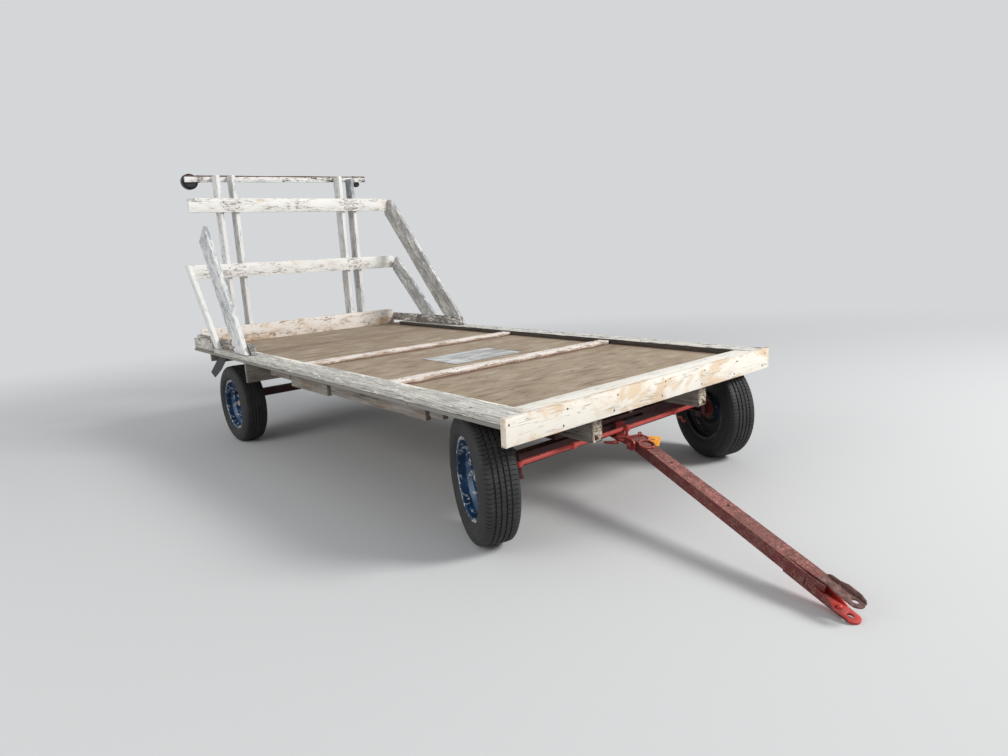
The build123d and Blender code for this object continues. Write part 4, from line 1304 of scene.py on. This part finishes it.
rod_line = [bar_spot(y, 0.004 + 0.002 * math.sin(y * 9.0)) for y in (-1.03, -0.6, -0.2, 0.2, 0.6, 0.99)]
top_rod = bent_rod("top_rod", [tuple(point) for point in rod_line], 0.0062)
saddles = []
for across in (-0.86, -0.30, 0.28, 0.86):
    foot = bar_spot(across)
    rib = [(-0.018, 0.0), (-0.009, 0.002), (-0.007, 0.009), (0.0, 0.0125)]
    rib += [(0.007, 0.009), (0.009, 0.002), (0.018, 0.0)]
    line = [(foot.x + x, foot.y, foot.z - 0.003 + z) for x, z in rib]
    saddles.append(bent_rod("saddle", line, 0.0030))
for across, turns in ((-0.905, 3), (-0.58, 2), (0.82, 4)):
    for number in range(turns):
        foot = bar_spot(across + number * 0.006, -0.026)
        ring = [(0.022, 0.033), (0.022, -0.030), (-0.026, -0.032), (-0.026, 0.034), (0.020, 0.036)]
        line = [(foot.x + x, foot.y + 0.001 * z, foot.z + z) for x, z in ring]
        saddles.append(bent_rod("wire_wrap", line, 0.0012))
whole = joined([top_rod] + saddles, "light_bar_rod")
settle(whole, "wagon_frame", "bolt_rust")
print("rod on the light bar")

# %% Bezels, lenses, fins and hangers of the two lamps
facing_rear = Matrix.Rotation(math.radians(-90.0), 4, "Y")
lamp_rows = (("flood_lamp", 0.0765, 0.018), ("small_lamp", 0.0325, 0.010))
for node, radius, fin in lamp_rows:
    low, high = (Vector(corner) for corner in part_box(node))
    middle = (low + high) / 2
    lens_step = (radius * 0.3, 0.001)
    bezel_steps = ((0.003, 0.004), (0.006, 0.0), (0.002, -0.005), lens_step, lens_step)
    bezel = turned_stub("bezel", 36, radius * 0.97, 0.008, bezel_steps)
    bezel.data.transform(Matrix.Translation((low.x + 0.006, middle.y, middle.z)) @ facing_rear)
    x_mid = (low.x + high.x) / 2
    inner = x_mid - 0.3 * (high.x - low.x)
    outer = x_mid + fin
    ribs = []
    for number in range(5):
        share = (number - 2) / 2.6
        half = radius * math.sqrt(1.0 - share * share) * 0.96
        rise = middle.z + share * radius
        outline = [(inner, -half), (outer, -half), (outer, half), (inner, half)]
        rib = plate("rib", outline, [], rise - 0.0015, rise + 0.0015, 0.0)
        rib.data.transform(Matrix.Translation((0.0, middle.y, 0.0)))
        ribs.append(rib)
    strap = [(high.x + 0.003, middle.y, middle.z + radius * 0.7), (high.x + 0.003, middle.y, middle.z)]
    hanger = bent_rod("hanger", strap, 0.005)
    whole = joined([bezel] + ribs + [hanger], node + "_details")
    settle(whole, "wagon_frame", "lamp_black")
print("two lamps detailed")

# %% [markdown]
# The tongue has its own measure too: along it from the hinge pin, across it, and over its middle.
# Its end is a pair of jaws. The upper one is a rusty plate with a narrow neck, a round nose and a
# flange turned up along its far edge, and the lower one is a red channel whose two flanges taper
# towards the nose. Both begin as flat plates. The upper flange is a line of edges extruded
# upward, and the lower two are small plates turned on edge.

# %% Set the yoke's and the tongue's measures
yoke_frame = Matrix.Translation((axle_x, 0.0, 0.0)) @ Matrix.Rotation(tongue_yaw, 4, "Z")
HINGE_AHEAD = 0.280
HINGE_HIGH = 0.380
JAW_END = 1.545
under_jaw = 0.044
droop = math.asin(HINGE_HIGH / math.hypot(JAW_END, under_jaw)) - math.atan2(under_jaw, JAW_END)
hinge = Matrix.Translation((HINGE_AHEAD, 0.0, HINGE_HIGH))
tongue_frame = yoke_frame @ hinge @ Matrix.Rotation(droop, 4, "Y")
print("tongue slopes down by", round(math.degrees(droop), 1), "degrees")

# %% Upper jaw
def nose(centre, half, start=-90.0, end=90.0, steps=10):
    """Points of a round nose."""
    points = []
    for number in range(steps + 1):
        angle = math.radians(start + (end - start) * number / steps)
        points.append((centre + half * math.cos(angle), half * math.sin(angle)))
    return points


upper_outline = [(1.182, -0.030), (1.330, -0.030), (1.375, -0.022), (1.400, -0.022), (1.440, -0.030)]
upper_outline += nose(1.513, 0.031)
upper_outline += [(1.440, 0.031), (1.400, 0.024), (1.375, 0.026), (1.182, 0.030)]
upper_jaw = plate("upper_jaw", upper_outline, [(1.507, 0.0, 0.0135)], 0.032, 0.041, 0.0015)
FLANGE_FOOT = 0.038
flange_line = [(1.345, 0.027, 0.003), (1.362, 0.029, 0.011), (1.385, 0.026, 0.014)]
flange_line += [(1.405, 0.026, 0.014), (1.440, 0.031, 0.021), (1.500, 0.031, 0.019)]
flange_line += [(1.528, 0.027, 0.011), (1.538, 0.020, 0.003)]
feet = [(x, y, FLANGE_FOOT) for x, y, _ in flange_line]
flange = drawn("flange", feet)
bpy.ops.mesh.extrude_region_move(TRANSFORM_OT_translate={"value": (0.0, 0.006, 0.0)})
bpy.ops.mesh.select_all(action="SELECT")
bpy.ops.mesh.extrude_region_move(TRANSFORM_OT_translate={"value": (0.0, 0.0, 0.020)})
face_outward()
leave()
for vertex in flange.data.vertices:
    if vertex.co.z > 0.05:
        nearest = min(flange_line, key=lambda point: abs(point[0] - vertex.co.x))
        vertex.co.z = FLANGE_FOOT + nearest[2]


def second_finish(piece, finish, test):
    """Give the faces that pass a test another finish."""
    piece.data.materials.append(finishes[finish])
    for face in piece.data.polygons:
        if test(tongue_frame.inverted() @ face.center, face.normal):
            face.material_index = 1


whole = joined([upper_jaw, flange], "hitch_upper_jaw")
edit(whole)
pick(whole, "verts", lambda vertex: vertex.co.x < 1.19 and vertex.co.z > 0.036)
bpy.ops.transform.translate(value=(0.0, 0.0, -0.007))
leave()
move_to(whole, tongue_frame)
settle(whole, "tongue", "jaw_rust", ("tongue_upper_jaw",))
edit(whole)
bpy.ops.mesh.select_all(action="SELECT")
cut_place = tongue_frame @ Vector((1.345, 0.0, 0.0))
cut_way = (tongue_frame.to_3x3() @ Vector((1.0, 0.12, 0.0))).normalized()
bpy.ops.mesh.bisect(plane_co=cut_place, plane_no=cut_way)
leave()
second_finish(whole, "tongue_red", lambda spot, _: spot.x + 0.12 * spot.y < 1.3449)
print("upper jaw with its flange")

# %% Lower jaw and the tongue's nose
lower_outline = [(1.182, -0.035), (1.470, -0.035)] + nose(1.510, 0.034)[1:-1]
lower_outline += [(1.470, 0.035), (1.182, 0.035)]
lower_jaw = plate("lower_jaw", lower_outline, [(1.503, 0.0, 0.014)], -0.044, -0.033, 0.0015)
pieces = [lower_jaw]
wing_outline = [(1.300, -0.040), (1.300, 0.010), (1.345, 0.004)]
wing_outline += [(1.415, -0.014), (1.468, -0.034), (1.480, -0.040)]
for side in (-1.0, 1.0):
    wing = plate("wing", wing_outline, [], -0.0035, 0.0035, 0.001)
    upright = Matrix.Translation((0.0, side * 0.0325, 0.0)) @ Matrix.Rotation(math.radians(90.0), 4, "X")
    wing.data.transform(upright)
    pieces.append(wing)
stud_steps = ((0.002, 0.004), (0.003, 0.003), (0.004, 0.001))
stud = turned_stub("stud", 16, 0.013, 0.004, stud_steps)
stud.data.transform(Matrix.Translation((1.452, -0.004, -0.0335)))
whole = joined(pieces + [stud], "hitch_lower_jaw")
move_to(whole, tongue_frame)
settle(whole, "tongue", "jaw_red", ("tongue_lower_jaw",))
# the near flange's outward faces take the darker tongue red as painted shade
shaded_near_way = tongue_frame.to_3x3() @ Vector((0.0, -1.0, 0.0))
second_finish(whole, "tongue_red", lambda spot, way: way.dot(shaded_near_way) > 0.8 and spot.y < -0.03)
nose_outline = [(1.292, -0.0395), (1.340, -0.038), (1.392, -0.031), (1.392, -0.026), (1.340, -0.033)]
nose_outline += [(1.292, -0.034)]
cheeks = []
for side in (-1.0, 1.0):
    cheek = plate("nose_cheek", nose_outline, [], 0.004, 0.0325, 0.0008)
    if side > 0:
        cheek.data.transform(Matrix.Scale(-1.0, 4, Vector((0.0, 1.0, 0.0))))
        edit(cheek)
        face_outward()
        leave()
    cheeks.append(cheek)
whole = joined(cheeks, "tongue_nose")
move_to(whole, tongue_frame)
settle(whole, "tongue", "tongue_red")
print("lower jaw, its stud and the tongue's nose")

# %% [markdown]
# Small iron things gather where the tongue meets the yoke: a ring lying on the tongue's root, with
# two bolt holes further along, drawn as black discs of painted shade, the hinge pin's head with its
# bent handle, a tab on the yoke's side and a loop. The amber plate hangs from the left ear and is
# wider at its top. Each is placed from the photograph by the line of sight through its spot, cut
# with the surface that carries it.

# %% Ring on the tongue's root, and black discs of painted shade for two holes
ring_line = []
for number in range(17):
    angle = 2.0 * math.pi * number / 16
    ring_line.append((0.087 + 0.048 * math.cos(angle), -0.010 + 0.044 * math.sin(angle), 0.0375))
ring = bent_rod("root_ring", ring_line[:-1] + [ring_line[0]], 0.0050)
hole_steps = ((0.0015, 0.0005),)
hole_shades = []
# each bolt hole is a thin black disc: painted shade, not an opening
for along in (0.315, 0.770):
    hole_shade = turned_stub("hole_shade_disc", 16, 0.0085, 0.0006, hole_steps)
    hole_shade.data.transform(Matrix.Translation((along, 0.004, 0.032)))
    hole_shades.append(hole_shade)
move_to(ring, tongue_frame)
settle(ring, "tongue", "yoke_red")
holes = joined(hole_shades, "tongue_hole_shades")
move_to(holes, tongue_frame)
settle(holes, "tongue", "lamp_black")
print("ring and two bolt holes on the tongue")

# %% Amber plate
amber_outline = [(0.047, 0.422), (0.138, 0.404), (0.124, 0.349), (0.083, 0.352)]
amber_holes = [(0.066, 0.405, 0.0035), (0.118, 0.396, 0.0035)]
amber = plate("amber_sheet", amber_outline, amber_holes, 0.0, 0.002, 0.0005)
standing = Matrix(((0, 0, 1, 0.303), (1, 0, 0, 0), (0, 1, 0, 0), (0, 0, 0, 1)))
move_to(amber, yoke_frame @ standing)
settle(amber, "steering_yoke", "amber_plate_finish", ("amber_plate",))
clip_line = [(0.292, 0.052, 0.392), (0.301, 0.066, 0.400), (0.301, 0.100, 0.390)]
clip = bent_rod("amber_clip", clip_line, 0.0045)
print("amber plate and its clip")

# %% Pin heads, handle, tab and loop of the yoke
head_steps = ((0.0015, 0.0015), (0.003, 0.0), (0.0005, 0.007), (0.0015, 0.001))
pin_head = turned_stub("pin_head", 6, 0.0165, 0.009, head_steps)
sideways = Matrix.Rotation(math.radians(90.0), 4, "X")
pin_head.data.transform(Matrix.Translation((0.280, -0.0565, 0.380)) @ sideways)
handle_line = [(0.280, -0.073, 0.380), (0.282, -0.084, 0.384)]
handle_line += [(0.290, -0.086, 0.398), (0.312, -0.084, 0.392)]
handle = bent_rod("pin_handle", handle_line, 0.0042)
tab_outline = []
for number in range(20):
    angle = 2.0 * math.pi * number / 20
    tab_outline.append((0.050 * math.cos(angle), 0.020 * math.sin(angle)))
tab = plate("side_tab", tab_outline, [], 0.360, 0.370, 0.002)
tab_turn = Matrix.Rotation(math.radians(41.0), 4, "Z")
tab.data.transform(Matrix.Translation((0.128, -0.098, 0.0)) @ tab_turn)
arm_line = [(0.110, -0.030, 0.366), (0.120, -0.062, 0.366), (0.134, -0.088, 0.366)]
arm = bent_rod("tab_arm", arm_line, 0.008)
loop_line = [(0.196, 0.030, 0.376), (0.196, 0.050, 0.398), (0.198, 0.054, 0.419), (0.202, 0.066, 0.420)]
loop_line += [(0.202, 0.070, 0.405), (0.200, 0.062, 0.376)]
loop = bent_rod("side_loop", loop_line, 0.0045)
yoke_bits = joined([clip, pin_head, handle, tab, arm, loop], "yoke_bits")
move_to(yoke_bits, yoke_frame)
settle(yoke_bits, "steering_yoke", "yoke_red")
print("yoke bits joined")

# %% [markdown]
# The tie rod has a clamped sleeve near each end and the steering pin's head in its middle. Each
# kingpin and each arm's pin ends in a castle nut, and an open hook hangs under the axle's left
# end. They ride on the rod, on the knuckles and on the frame, so they move as the wheels steer.

# %% Sleeves, pin head, castle nuts and hook
ROD_AHEAD = 0.1201
ROD_HIGH = 0.440
ROD_MIDDLE = -0.0497
rod_bits = []
sleeve_steps = ((0.002, 0.002),)
for across in (-0.530, 0.440):
    sleeve = turned_stub("sleeve", 20, 0.0175, 0.050, sleeve_steps)
    sideways = Matrix.Rotation(math.radians(-90.0), 4, "X")
    sleeve.data.transform(Matrix.Translation((axle_x + ROD_AHEAD, across, ROD_HIGH)) @ sideways)
    pinch = turned_stub("pinch_bolt", 6, 0.0075, 0.030, ((0.001, 0.001),))
    pinch_at = (axle_x + ROD_AHEAD + 0.017, across + 0.012, ROD_HIGH - 0.014)
    pinch.data.transform(Matrix.Translation(pinch_at))
    rod_bits += [sleeve, pinch]
pin_steps = ((0.003, 0.001), (0.0005, 0.012), (0.002, 0.001))
head = turned_stub("steering_pin_head", 12, 0.012, 0.004, pin_steps)
head.data.transform(Matrix.Translation((axle_x + ROD_AHEAD + 0.0205, ROD_MIDDLE, ROD_HIGH + 0.0095)))
whole = joined(rod_bits + [head], "tie_rod_bits")
settle(whole, "tie_rod", "rod_red")
castle_steps = ((0.0012, 0.0012), (0.003, 0.0), (0.0005, 0.004))
castle_steps += ((0.0025, 0.0), (0.0003, 0.005), (0.002, 0.001))
for name, side in (("left", 1.0), ("right", -1.0)):
    kingpin = Matrix.Translation((axle_x, side * kingpin_y, 0.0))
    knuckle_frame = kingpin @ Matrix.Rotation(wheel_yaw, 4, "Z")
    nuts = []
    for ahead, height, width in ((0.0, 0.4795, 0.020), (0.130, 0.4745, 0.0125)):
        nut = turned_stub("castle_nut", 6, width, 0.007, castle_steps)
        nut.data.transform(Matrix.Translation((ahead, 0.0, height)))
        line = [(ahead - width * 1.1, 0.0, height + 0.011), (ahead + width * 1.1, 0.0, height + 0.011)]
        line.append((ahead + width * 1.25, 0.003, height + 0.004))
        nuts += [nut, bent_rod("cotter", line, 0.0016)]
    whole = joined(nuts, "castle_nuts_" + name)
    move_to(whole, knuckle_frame)
    settle(whole, "knuckle_" + name, "bolt_rust")
hook_line = [(0.030, 0.650, 0.364), (0.030, 0.655, 0.349), (0.030, 0.688, 0.350), (0.030, 0.702, 0.315)]
hook_line += [(0.030, 0.731, 0.304), (0.030, 0.738, 0.322)]
hook = bent_rod("axle_hook", hook_line, 0.0052)
move_to(hook, Matrix.Translation((axle_x, 0.0, 0.0)))
settle(hook, "wagon_frame", "yoke_red")
print("sleeves, nuts and hook")
